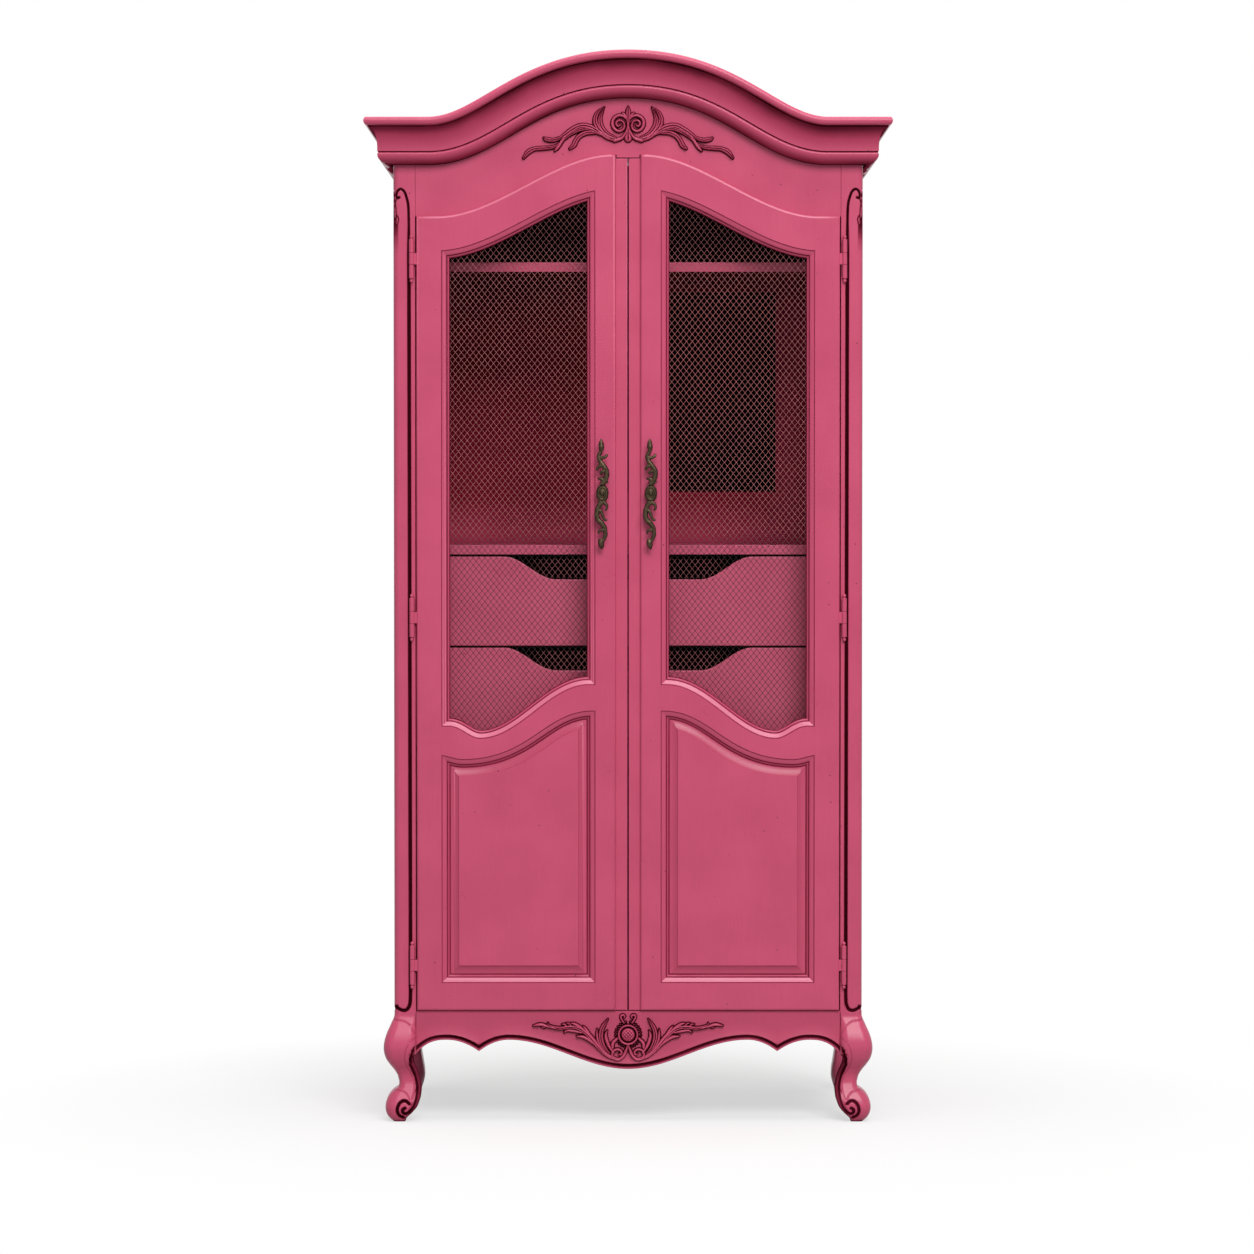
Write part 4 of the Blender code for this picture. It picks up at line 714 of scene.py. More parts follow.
def wire_paint():
    """Thin dull paint on wire: rosy in a door's middle and before the scoops, darker before the drawers, and
    darker near the head as painted shade.
    """
    made, tree, place = started("dull painted wire")
    across, _, height = axes(tree, place)
    middle = ramp(tree, maths(tree, "ABSOLUTE", across), SCOOP_FLAT + 0.02, SCOOP_FLAT + 0.06, 1.0, 0.0)
    # Darker below the lower shelf; darker above the upper shelf as painted shade.
    rosy = maths(tree, "MULTIPLY", ramp(tree, height, LOWER_SHELF, LOWER_SHELF + 0.03),
                 ramp(tree, height, UPPER_SHELF, UPPER_SHELF + 0.06, 1.0, 0.45))
    for word in ("upper", "lower"):
        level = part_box(f"{word}_drawer_front")[1].z - SCOOP_DEPTH / 2
        before = maths(tree, "COMPARE", height, level, SCOOP_DEPTH / 2 - 0.004)
        scoop = maths(tree, "MULTIPLY", before, middle)
        rosy = maths(tree, "MAXIMUM", rosy, maths(tree, "MULTIPLY", scoop, 0.6))
    patch = noise(tree, place, 40, 3.0)
    share = maths(tree, "MULTIPLY", rosy, ramp(tree, patch, 0.3, 0.7, 0.75, 1.0))
    return coated(made, toned(tree, share, "wire"), ramp(tree, patch, 0.3, 0.7, 0.5, 0.4), 0.3)


FINISHES = {
    "paint": lambda: pink_paint("satin pink paint with wiped glaze", "paint"),
    # A lighter copy of the paint for the drawers and the lower shelf: painted light.
    "lit_paint": lambda: pink_paint("fresh pink paint", "lit_paint"),
    "maroon": maroon_paint,
    "black": lambda: stained("black stained hardboard", "black", 3.0, (1.0, 1.0, 0.5)),
    # The drawer boxes' near black stain is painted shade inside the drawers.
    "shade_dark_drawer_wood": lambda: stained("dark stained drawer wood", "wood", 3.5, (0.06, 0.04, 1.0)),
    "ply": lambda: stained("raw plywood", "ply", 4.0, (1.0, 1.0, 0.03), 0.2),
    "bronze": lambda: worn_metal("antique cast bronze", "bronze", 0.42, 6.0),
    "wire": wire_paint,
    "steel": lambda: worn_metal("zinc plated steel", "steel", 0.35, 12.0),
}
MADE = {}


def finish(name):
    if name not in MADE:
        MADE[name] = FINISHES[name]()
    return MADE[name]


# Settings
def length(name, description, default):
    return bpy.props.FloatProperty(name=name, description=description, default=default, unit="LENGTH")


def colour(name, description, default):
    return bpy.props.StringProperty(name=name, description=f"{description}, sRGB hex", default=default)


class ArmoireSizes(bpy.types.PropertyGroup):
    groove_depth: bpy.props.FloatProperty(
        name="Groove depth", description="Share of the drawn depth of the post lines",
        default=1.0, min=0.0, max=2.0, subtype="FACTOR")
    door_round: length("Door edge", "Rounding of the doors' outer edges", 0.0048)
    board_round: length("Board edge", "Rounding of plain boards", 0.0012)
    relief: length("Relief", "Height of the carved sprays above their board", 0.0092)
    carving_cell: length("Carving cell", "Spacing of the points of a carved spray", 0.0008)
    diamond_width: length("Diamond width", "Width of one diamond of the wire mesh", 0.012)
    diamond_height: length("Diamond height", "Height of one diamond of the wire mesh", 0.015)
    wire: length("Wire", "Diameter of the mesh wire", 0.00085)
    weld: length("Weld", "Diameter of the weld where two wires cross", 0.0022)
    handle_cell: length("Handle cell", "Size of the cells that fuse a handle's leaves", 0.0006)


class ArmoireColours(bpy.types.PropertyGroup):
    paint: colour("Paint", "Pink of the paint", "#CB5172")
    paint_deep: colour("Paint, deep", "Deeper pink of its clouds", "#C34B6C")
    # Lighter pink for drawers and lower shelf: painted light.
    lit_paint: colour("Fresh paint", "Pink of drawers and lower shelf", "#D05D7A")
    lit_paint_deep: colour("Fresh paint, deep", "Deeper pink of its clouds", "#C85573")
    # Painted highlight on the doors' top edges and the sills.
    painted_light: colour("Rubbed edges", "Paler pink of rubbed edges", "#EC8EA8")
    # Dark of the glazing and of painted shade in recesses and creases, and of the specks.
    glaze_and_painted_light: colour("Glaze", "Dark glaze in the recesses", "#34070F")
    # Red of thin glazing and of soft painted shade.
    thin_glaze_and_shade: colour("Glaze, thin", "Red of thinly wiped glaze", "#6E0A24")
    inside: colour("Inside", "Maroon of the inside", "#8E2237")
    inside_deep: colour("Inside, deep", "Deeper maroon of its clouds", "#741A2C")
    shadow: colour("Inside, dark", "Inside above the shelves and round the drawers", "#0B0304")
    black: colour("Cover", "Stain of the rear cover", "#090606")
    black_deep: colour("Cover, deep", "Grain of the rear cover", "#040303")
    # Near black stain of the drawer boxes: painted shade inside the drawers.
    wood: colour("Drawer wood", "Stain of the drawer boxes", "#0D0807")
    wood_deep: colour("Drawer wood, deep", "Grain of the drawer boxes", "#070403")
    ply: colour("Plywood", "Bare back of the rear panel", "#B98F5C")
    ply_deep: colour("Plywood, deep", "Grain of the rear panel", "#96703F")
    bronze: colour("Bronze", "Handled bronze of the pulls", "#4E4233")
    bronze_deep: colour("Bronze, deep", "Patina of the pulls", "#14110D")
    wire: colour("Wire", "Rosy paint on the wire", "#B26C6E")
    # Dark of the wire before the drawers, and of painted shade near the head.
    wire_deep: colour("Wire, deep", "Dark of the rubbed wire", "#1E080C")
    steel: colour("Steel", "Bright plating of the catches", "#B9BBBD")
    steel_deep: colour("Steel, deep", "Dull plating of the catches", "#8E9093")
    floor: colour("Floor", "Floor as the camera sees it", "#F4F3F3")
    floor_deep: colour("Floor, deep", "Floor that lights the part from below", "#B4B2B2")


# Posts
def post_levels(front):
    levels = spaced(0.0, CARVED_LOW, round(CARVED_LOW / (0.0012 if front else 0.003)))
    if front:
        levels += spaced(CARVED_LOW, CARVED_HIGH[0], 26)[1:] + spaced(*CARVED_HIGH, 70)[1:]
    return levels + spaced(levels[-1], POST_TOP, 4)[1:]


def post_ring(z, front):
    """One level of a post: places and outward directions, as distances in from the outer and front faces."""
    outer = -through(LEG_OUTER, 1000 * z) / 1000
    fore = -through(LEG_FORE, 1000 * z) / 1000 if front else 0.0
    share = through(LEG_INNER, 1000 * z)
    inner = LEG_WIDTH * (share if front else through(BACK_LEG_INNER, 1000 * z))
    if z >= APRON_END:
        share, inner = min(1.0, share), min(POST_WIDTH, inner)
    rear = POST_DEPTH * share
    soft = min(1.0, max(0.0, (LEG_HEIGHT - z) / LEG_BLEND))
    width = inner - outer
    small = POST_EASE + soft * (0.24 * width - POST_EASE)
    large = POST_ROUND + soft * (0.32 * width - POST_ROUND) if front else BACK_POST_EASE + soft * 0.2 * width
    corners = [((inner - small, fore + small), small, (1, 0), 5, 60 if front else 10),
               ((outer + large, fore + large), large, (0, -1), 12, 46 if front else 10),
               ((outer + small, rear - small), small, (-1, 0), 5, 5),
               ((inner - small, rear - small), small, (0, 1), 5, 6)]
    ring, out = [], []
    for here, following in zip(corners, corners[1:] + corners[:1]):
        (centre, radius, start, turns, flats), (ahead, tight, end, _, _) = here, following
        centre, ahead, start, end = [np.array(pair, float) for pair in (centre, ahead, start, end)]
        normals = [math.cos(turn) * start + math.sin(turn) * end for turn in spaced(0.0, math.pi / 2, turns)]
        first, last = centre + radius * end, ahead + tight * end
        ring += [centre + radius * normal for normal in normals]
        ring += [first + (last - first) * step for step in spaced(0.0, 1.0, flats)[1:-1]]
        out += normals + [end] * (flats - 1)
    return ring, out


def post_mesh(name, front, depth_share):
    """The right-hand post with its leg, lines carved on the front and on the outer side."""
    levels = post_levels(front)
    sections = np.array([post_ring(z, front) for z in levels])
    place, out = sections[:, 0], sections[:, 1]
    up = np.repeat(np.array(levels)[:, None], place.shape[1], 1)
    sunk, glaze_and_painted_light = np.zeros(up.shape), np.zeros(up.shape)
    if front:
        for points, half, depth, dark in POST_LINES:
            points = np.array(points) / 1000
            line = traced(points, 0.002) if len(points) > 2 else points
            for axis, stretch in ((0, 1.0), (1, POST_DEPTH / LEG_WIDTH)):
                toward = np.clip((-out[:, :, 1 - axis] - 0.15) / 0.4, 0.0, 1.0)
                away = distance_to(line * (stretch, 1.0), place[:, :, axis], up) / (half / 1000)
                dip = np.clip(1.0 - away ** 2, 0.0, 1.0) ** 1.3 * toward
                sunk = np.maximum(sunk, depth / 1000 * depth_share * dip)
                glaze_and_painted_light = np.maximum(glaze_and_painted_light, dark * np.clip(1.9 - 1.6 * away, 0.0, 1.0) * toward)
        # Painted shade on the inner sides of the front legs.
        inner_side = np.clip(2.5 * out[:, :, 0] - 1.1, 0.0, 1.0) * (up < APRON_END)
        glaze_and_painted_light = np.maximum(glaze_and_painted_light, LEG_SIDE_SHADE * inner_side)
    place = place - out * sunk[:, :, None]
    depth = FRONT + place[:, :, 1] if front else BACK - place[:, :, 1]
    points = np.stack([HALF - place[:, :, 0], depth, up], 2)
    return shaded(rings_joined(name, points, glaze_and_painted_light), 50.0)


class ARMOIRE_OT_posts(bpy.types.Operator):
    """Make the four posts with their cabriole legs"""
    bl_idname = "armoire.posts"
    bl_label = "Posts"

    def execute(self, context):
        for front, word in ((True, "front"), (False, "back")):
            mesh = post_mesh(f"{word} post", front, context.scene.armoire_sizes.groove_depth)
            for side, hand in SIDES:
                piece(f"{word}_{hand}_leg_post", handed(mesh, side), f"{word}_{hand}_post")
        return {"FINISHED"}


# Cornice
def cornice_section():
    """(reach, height, darkness) over the cornice's face, from its inner lower corner to its inner top; the
    darkness is glazing in the quirks and painted shade under and down the bead and in the top of the cove.
    """
    face = [(0.0, 0.0, 1.0), (0.08, 0.0, 1.0), (0.09, 0.0, 1.0), (0.145, 0.015, 0.6)]
    # Painted shade: darker down the bead towards its underside.
    for share in spaced(0.0, 1.0, 12):
        turn = share * math.pi / 2
        face.append((0.15 + 0.38 * math.sin(turn), 0.20 - 0.18 * math.cos(turn), 0.16 + 0.44 * (1 - share)))
    face += [(0.527, 0.222, 0.0), (0.51, 0.24, 0.2), (0.485, 0.254, 0.5), (0.462, 0.264, 0.75),
             (0.462, 0.270, 0.75), (0.50, 0.278, 0.6), (0.528, 0.284, 0.3)]
    # Painted shade: darker towards the top of the cove, under the roll.
    for turn in spaced(0.0, math.pi / 2, 18):
        climb = math.sin(turn) ** 0.8
        face.append((0.53 + 0.29 * (1 - math.cos(turn)), 0.287 + 0.465 * climb, 0.10 + 0.52 * climb))
    face += [(0.838, 0.756, 0.65), (0.848, 0.764, 0.95), (0.858, 0.780, 1.0), (0.866, 0.799, 0.8)]
    roll = traced([(0.87, 0.80), (0.96, 0.83), (1.0, 0.89), (0.99, 0.95), (0.94, 1.0)], 0.012)
    face += [(out, up, 0.09) for out, up in roll[1:]] + [(0.0, 1.0, 0.0)]
    drawn = (0.0, 0.222, 0.264, 0.287, 0.752, 0.80, 1.0)
    seen = (0.072, 0.285, 0.318, 0.335, 0.795, 0.835, 1.0)
    return [(CORNICE_REACH * out, CORNICE_HEIGHT * np.interp(up, drawn, seen), glaze_and_painted_light)
            for out, up, glaze_and_painted_light in face]


class ARMOIRE_OT_cornice(bpy.types.Operator):
    """Make the bonnet cornice and its two returns"""
    bl_idname = "armoire.cornice"
    bl_label = "Cornice"

    def execute(self, context):
        section = cornice_section()
        face, corner_at, count = FRONT - FIT, HALF + FIT, 80
        lanes = [bonnet_path(CORNICE_HEIGHT - up, count) for _, up, _ in section]
        right = [[(lane[step][0], face - out, lane[step][1]) for lane, (out, _, _) in zip(lanes, section)]
                 for step in range(count + 1)]
        mitre = [(corner_at + out, face - out, CORNICE_LOW + up) for out, up, _ in section]
        right.append([(x - FIT, y, z) for x, y, z in mitre])
        rings = [[(-x, y, z) for x, y, z in ring] for ring in right[:0:-1]] + right
        glaze_and_painted_light = [mark for _, _, mark in section]
        mesh = rings_joined("cornice", rings, glaze_and_painted_light * len(rings))
        piece("bonnet_cornice", shaded(mesh), "cornice_front")
        mitre[0], mitre[-1] = [(x, face, z) for x, _, z in (mitre[0], mitre[-1])]
        square = [(x, BACK, z) for x, _, z in mitre]
        mesh = shaded(rings_joined("return", [mitre, square], glaze_and_painted_light * 2))
        for side, hand in SIDES:
            piece(f"{hand}_cornice_moulding", handed(mesh, side), f"cornice_{hand}_return")
        return {"FINISHED"}


# Frieze and apron boards
def frieze_outline():
    edge, step, low = POST_INNER - FIT, STRIP_EDGE - DOOR_GAP, door_top(0.0) + DOOR_GAP
    half = [(0.0, low - STRIP_DROP), (step, low - STRIP_DROP), (step, low)]
    half += [(at, door_top(at) + DOOR_GAP) for at in spaced(DOOR_CREST[0], DOOR_SHOULDER[0], 72)]
    half += [(edge, DOOR_SHOULDER[1] + DOOR_GAP), (edge, CORNICE_TOP - FRIEZE_DROP)]
    half += bonnet_path(FRIEZE_DROP, 40)[::-1]
    return half + [(-x, z) for x, z in half[::-1] if x > 0.0]


def apron_face(away):
    """How far the apron's face stands out, and its darkness, at a distance from its lower edge: glazing with
    painted shade in the groove.
    """
    bead, groove, flare = 0.0042, 0.0102, 0.036
    half = bead / 2
    round_off = np.sqrt(np.clip(1.0 - ((away - half) / half) ** 2, 0.0, 1.0))
    hollow = np.sin(np.clip((away - bead) / (groove - bead), 0.0, 1.0) * math.pi)
    rest = np.clip((flare - away) / (flare - groove), 0.0, 1.0)
    swell = 0.0036 * rest ** 2 * np.clip((away - groove) / 0.0012, 0.0, 1.0)
    stand = np.where(away < bead, 0.0016 * round_off, np.where(away < groove, -0.0030 * hollow, swell))
    glaze_and_painted_light = np.where((away > bead - 0.0012) & (away < groove + 0.0008), 0.62 + 0.3 * hollow, 0.06)
    return stand, np.where(away > groove, 0.13, glaze_and_painted_light)


def apron_mesh():
    edge = POST_INNER - FIT
    columns = np.array(spaced(-edge, edge, 560))
    low = np.array([apron_edge(at) for at in columns])
    steep = np.sqrt(1.0 + np.minimum(np.abs(np.gradient(low, columns)), 1.2) ** 2)
    rows = np.concatenate([np.arange(0.0, 0.0125, 0.00055), np.linspace(0.0128, 0.038, 16)])
    up = low + np.minimum(rows[:, None] * steep, 0.9 * (APRON_TOP - low))
    up = np.vstack([up, up[-1] + (APRON_TOP - up[-1]) * np.array([[0.35], [0.7], [1.0]])])
    across = np.repeat(columns[None, :], len(up), 0)
    stand, glaze_and_painted_light = apron_face(distance_to(np.stack([columns, low], 1)[::2], across, up))
    stand[0], stand[-1] = 0.0, 0.0
    front = np.stack([across, FRONT - stand, up], 2).reshape(-1, 3)
    at = np.arange(up.size).reshape(up.shape)
    faces = list(np.stack([at[:-1, :-1], at[:-1, 1:], at[1:, 1:], at[1:, :-1]], 2).reshape(-1, 4))
    rim = np.concatenate([at[0, :], at[1:, -1], at[-1, -2::-1], at[-2:0:-1, 0]])
    back = front[rim]
    back[:, 1] = FRONT + BOARD
    start, count = len(front), len(rim)
    faces += [(rim[i], start + i, start + (i + 1) % count, rim[(i + 1) % count]) for i in range(count)]
    faces.append(range(start, start + count))
    return meshed("apron", np.vstack([front, back]), faces, np.concatenate([glaze_and_painted_light.ravel(), np.zeros(count)]))


class ARMOIRE_OT_front_boards(bpy.types.Operator):
    """Make the frieze board and the scalloped apron"""
    bl_idname = "armoire.front_boards"
    bl_label = "Frieze and apron"

    def execute(self, context):
        mesh = slab("frieze", frieze_outline(), FRONT, FRONT + BOARD, 0.0008)
        piece("arched_frieze", shaded(mesh), "frieze_board")
        piece("scalloped_apron", shaded(apron_mesh(), 50.0), "front_apron")
        return {"FINISHED"}


# Carved sprays
def softened(field, times):
    for _ in range(times):
        edge = np.pad(field, 1, mode="edge")
        sides = edge[:-2, 1:-1] + edge[2:, 1:-1] + edge[1:-1, :-2] + edge[1:-1, 2:]
        field = (sides + 4 * field) / 8
    return field


class Relief:
    """A height field on a board, with its edge distance, that carved strokes are laid on."""

    def __init__(self, half_width, low, high, cell):
        self.cell = cell
        self.skirt = 0.0012
        self.across = np.arange(-half_width, half_width + cell / 2, cell)
        self.up = np.arange(low, high + cell / 2, cell)
        self.height = np.zeros((len(self.up), len(self.across)))
        self.edge = np.full(self.height.shape, -1.0)

    def stroke(self, points, relief, crease=0.5):
        """One leaf or stem: rounded across, with a shallow crease along its middle."""
        line = traced(points, 0.0006)
        near = np.full(self.height.shape, 9.0)
        for x, z, width in line:
            reach = width * 1.5 + self.skirt + self.cell
            columns = slice(*np.searchsorted(self.across, (x - reach, x + reach)))
            rows = slice(*np.searchsorted(self.up, (z - reach, z + reach)))
            away = np.hypot(self.across[None, columns] - x, self.up[rows, None] - z)
            near[rows, columns] = np.minimum(near[rows, columns], away / width)
            self.edge[rows, columns] = np.maximum(self.edge[rows, columns], width + self.skirt - away)
        widest = line[:, 2].max()
        dome = np.sqrt(np.clip(1.0 - near ** 2, 0.0, 1.0))
        tall = relief * min(1.0, 0.45 + widest / 0.009)
        form = tall * dome * (1.0 - crease * np.exp(-(near / 0.18) ** 2) * (widest > 0.0045))
        self.height = np.maximum(self.height, np.where(near < 1.0, form, 0.0))

    def mesh(self, name, base, sunk):
        """The field as a closed shell on a board's face, cut where the edge distance is nothing."""
        # Darkness of glazing with painted shade: in hollows, over the lower parts of the relief and round its
        # rim.
        hollow = np.clip((softened(self.height, 10) - self.height) / 0.0005, 0.0, 1.0)
        low = (1.0 - np.clip(self.height / (0.62 * self.height.max()), 0.0, 1.0)) ** 0.6
        rim = np.exp(-np.clip(self.edge - self.skirt, 0.0, 1.0) / 0.0014)
        glaze_and_painted_light = np.maximum(np.maximum(hollow, low), rim)
        points, marks, known, faces = [], [], {}, []

        def corner(here):
            if here not in known:
                known[here] = len(points)
                points.append((self.across[here[1]], base - self.height[here], self.up[here[0]]))
                marks.append(glaze_and_painted_light[here])
            return known[here]

        def crossing(first, second):
            key = (min(first, second), max(first, second))
            if key not in known:
                share = self.edge[first] / (self.edge[first] - self.edge[second])
                known[key] = len(points)
                x = self.across[first[1]] + share * (self.across[second[1]] - self.across[first[1]])
                z = self.up[first[0]] + share * (self.up[second[0]] - self.up[first[0]])
                points.append((x, base, z))
                marks.append(1.0)
            return known[key]

        inside = self.edge > 0.0
        count = inside[:-1, :-1].astype(int) + inside[:-1, 1:] + inside[1:, 1:] + inside[1:, :-1]
        for row, column in zip(*np.nonzero(count)):
            ring = [(row, column), (row, column + 1), (row + 1, column + 1), (row + 1, column)]
            face = []
            for here, ahead in zip(ring, ring[1:] + ring[:1]):
                if inside[here]:
                    face.append(corner(here))
                if inside[here] != inside[ahead]:
                    face.append(crossing(here, ahead))
            if len(face) > 2:
                faces.append(face)
        front = np.array(points)
        start = len(front)
        back = front.copy()
        back[:, 1] = base + sunk
        used = {pair: True for face in faces for pair in zip(face, face[1:] + face[:1])}
        walls = [(first, second, start + second, start + first) for first, second in used
                 if (second, first) not in used]
        rear = [[start + at for at in face[::-1]] for face in faces]
        return meshed(name, np.vstack([front, back]), faces + walls + rear, marks + marks)


def medallion(field, height, scale, relief):
    """A round boss with a rim, a hollow, pearls round it and slanting cuts across its dome."""
    x, z = np.meshgrid(field.across, field.up - height)
    away = np.hypot(x, z)
    rim, hollow, dome, pearls = [pixels * scale for pixels in (72, 56, 46, 88)]
    ring = np.clip(1.0 - ((away - (rim + hollow) / 2) / ((rim - hollow) / 2)) ** 2, 0.0, 1.0)
    form = np.where(away < rim, 0.35 * relief, 0.0) + 0.75 * relief * np.sqrt(ring)
    cap = np.sqrt(np.clip(1.0 - (away / dome) ** 2, 0.0, 1.0))
    cuts = [0.5 + 0.5 * np.cos(slant / math.sqrt(2) / 0.0052 * 2 * math.pi) for slant in (x + z, x - z)]
    bowl = relief * cap * (0.72 + 0.28 * np.minimum(*cuts) ** 0.5)
    form = np.where(away < dome, 0.35 * relief + bowl, form)
    field.height = np.where(away < rim, form, field.height)
    field.edge = np.maximum(field.edge, rim + field.skirt - away)
    for turn in range(100, 261, 14):
        for spin in (math.radians(turn), math.radians(180 - turn)):
            at, up = pearls * math.cos(spin), height + pearls * math.sin(spin)
            field.stroke([(at, up, 7 * scale), (at + 0.0002, up, 7 * scale)], relief * 0.7, 0.0)


class ARMOIRE_OT_carvings(bpy.types.Operator):
    """Carve the leaf sprays on the frieze and the apron"""
    bl_idname = "armoire.carvings"
    bl_label = "Carved sprays"

    def execute(self, context):
        sizes = context.scene.armoire_sizes
        sprays = (("frieze", FRIEZE_LIMITS, FRIEZE_DRAWING, FRIEZE_STROKES),
                  ("apron", APRON_LIMITS, APRON_DRAWING, APRON_STROKES))
        for word, limits, (scale, middle, level, height), strokes in sprays:
            field = Relief(*limits, sizes.carving_cell)
            for stroke in strokes:
                for side, _ in SIDES:
                    field.stroke([(side * (x - middle) * scale, height + (level - z) * scale,
                                   width * CARVING_FULLNESS * scale) for x, z, width in stroke], sizes.relief)
            if word == "apron":
                medallion(field, height, scale, sizes.relief)
            mesh = shaded(field.mesh(f"{word} spray", FRONT - 0.0001, 0.0006), 60.0)
            piece(f"{word}_leaf_spray", mesh, f"{word}_carving")
        return {"FINISHED"}


# Carcass boards
class ARMOIRE_OT_boards(bpy.types.Operator):
    """Round the edges of the side panels, shelves, top, bottom and back, and paint them"""
    bl_idname = "armoire.boards"
    bl_label = "Carcass boards"

    def execute(self, context):
        down = Vector((0.0, 0.0, -1.0))
        plain = [("top_board", "paint", "pink_paint", down), ("bottom_board", "maroon", "maroon_paint", None),
                 ("upper_shelf", "paint", "pink_paint", down), ("lower_shelf", "lit_paint", "pink_paint", down),
                 ("back_panel", "maroon", "maroon_paint", Vector((0.0, 1.0, 0.0))),
                 ("rear_access_cover", "black", "black_board", None)]
        for side, hand in SIDES:
            inward = Vector((-side, 0.0, 0.0))
            plain += [(f"{hand}_side_panel", "paint", "pink_paint", inward),
                      (f"{hand}_side_apron", "paint", "pink_paint", inward),
                      (f"{hand}_drawer_runner_board", "maroon", "raw_wood", None)]
        for node, coat, slot, hidden in plain:
            mesh = eased(node, context.scene.armoire_sizes.board_round)
            made = piece(f"{node}_eased", mesh, node, coat=coat, slot=slot)
            if hidden:
                made.data.materials.append(finish("ply" if node == "back_panel" else "maroon"))
                for face in made.data.polygons:
                    face.material_index = int(face.normal.dot(hidden) > 0.5)
        return {"FINISHED"}


# Door frames
def door_blank():
    """The whole right-hand door without its strip, before it is parted into stiles and rails."""
    outline = [(STRIP_EDGE, DOOR_BOTTOM), (DOOR_OUTER, DOOR_BOTTOM), (DOOR_OUTER, door_top(DOOR_OUTER))]
    outline += [(at, door_top(at)) for at in spaced(DOOR_SHOULDER[0], DOOR_CREST[0], 72)]
    outline += [(STRIP_EDGE, door_top(STRIP_EDGE))]
    lap = [(x, z + DOOR_LAP if z > DOOR_BOTTOM else z) for x, z in outline]
    lap_end = FRONT - FIT
    ease = bpy.context.scene.armoire_sizes.door_round
    steps = [(lap, inset, DOOR_FACE + at) for inset, at in rounded(ease)]
    steps += [(lap, 0.0, lap_end), (outline, 0.0, lap_end + 0.0001), (outline, 0.0, DOOR_REAR - 0.0005),
              (outline, 0.0005, DOOR_REAR), (outline, 0.0005 + RIM, DOOR_REAR)]
    return rings_joined("door", [edge_ring(*step) for step in steps])


def moulding_steps():
    """(offset, depth) over the moulding: an eased edge, an ovolo, a small step and a cove, sloping in."""
    steps = [(0.0, -0.002), (0.0, 0.0003), (0.03, 0.0006), (0.10, 0.0014), (0.18, 0.0021)]
    steps += [(0.25 + 0.40 * share, 0.0026 + 0.0031 * share ** 1.4) for share in spaced(0.0, 1.0, 8)]
    steps += [(0.66, 0.0063), (0.70, 0.0066)]
    steps += [(0.70 + 0.30 * share, 0.0066 + (MOULD_DEPTH - 0.0066) * share ** 0.85)
              for share in spaced(0.0, 1.0, 5)[1:]]
    rim = MOULD_WIDTH - SEAT_LAP
    return [(offset * MOULD_WIDTH, depth) for offset, depth in steps] + [
        (MOULD_WIDTH, SEAT_DEPTH), (rim, SEAT_DEPTH), (rim, DOOR_THICK + 0.004)]


def marked_with_glaze_and_light(mesh, rail):
    """A door member with glazing and painted shade in the quirks of its mouldings, and painted highlight on
    the sill mouldings of a rail and on the doors' top edges.
    """
    across, deep, up = np.array([vert.co[:] for vert in mesh.vertices]).T
    deep = deep - DOOR_FACE
    marks = np.zeros(len(across))
    for opening in OPENINGS:
        sill, head = [np.array([curve(at) for at in across]) for curve in opening]
        loop = opening_loop(opening, 0.0)
        offset = distance_to(loop + loop[:1], across, up) / MOULD_WIDTH
        within = (across < HINGE_EDGE + FIT) & (across > MEETING_EDGE - FIT) & (offset < 1.1)
        within &= (up > sill - FIT) & (up < head + FIT) & (deep > FIT) & (deep < SEAT_DEPTH - FIT)
        marks = np.where(within, np.interp(offset, *zip(*MOULD_GLAZE_AND_SHADE)), marks)
        # Painted highlight on the upward sill mouldings of a rail.
        ledge_highlight = rail & within & (up < sill + 1.3 * MOULD_WIDTH) & (offset > 0.15) & (offset < 0.56)
        marks = np.where(ledge_highlight, -0.45, marks)
    # Painted highlight along the doors' top edges.
    crest = np.array([door_top(at) for at in across]) + DOOR_LAP
    edge = (up > crest - 0.0042) & (deep > 0.0001) & (deep < 0.006)
    edge &= (across < DOOR_OUTER - 0.006) & (across > STRIP_EDGE + 0.006)
    return marked(mesh, np.where(edge, -0.5, marks))


def placed_loop(opening, offset, depth):
    return [(at, DOOR_FACE + depth, z) for at, z in opening_loop(opening, offset)]


def mitre_points(opening, hinge_side, shift):
    """From the head corner of an opening into its middle and out again at the sill corner."""
    sill, head = opening
    heads, sills = [], []
    for offset in (0.0, MITRE_REACH):
        at = HINGE_EDGE - offset if hinge_side else MEETING_EDGE + offset
        heads.append((at + shift, shifted(head, at, offset, -1)))
        sills.append((at + shift, shifted(sill, at, offset, 1)))
    return heads + sills[::-1]


def stile_region(hinge_side, shift):
    far = DOOR_OUTER + BEYOND if hinge_side else -BEYOND
    edge = (HINGE_EDGE if hinge_side else MEETING_EDGE) + shift
    line = [point for opening in OPENINGS for point in mitre_points(opening, hinge_side, shift)]
    return [(far, OVERHEAD), (edge, OVERHEAD)] + line + [(edge, 0.0), (far, 0.0)]


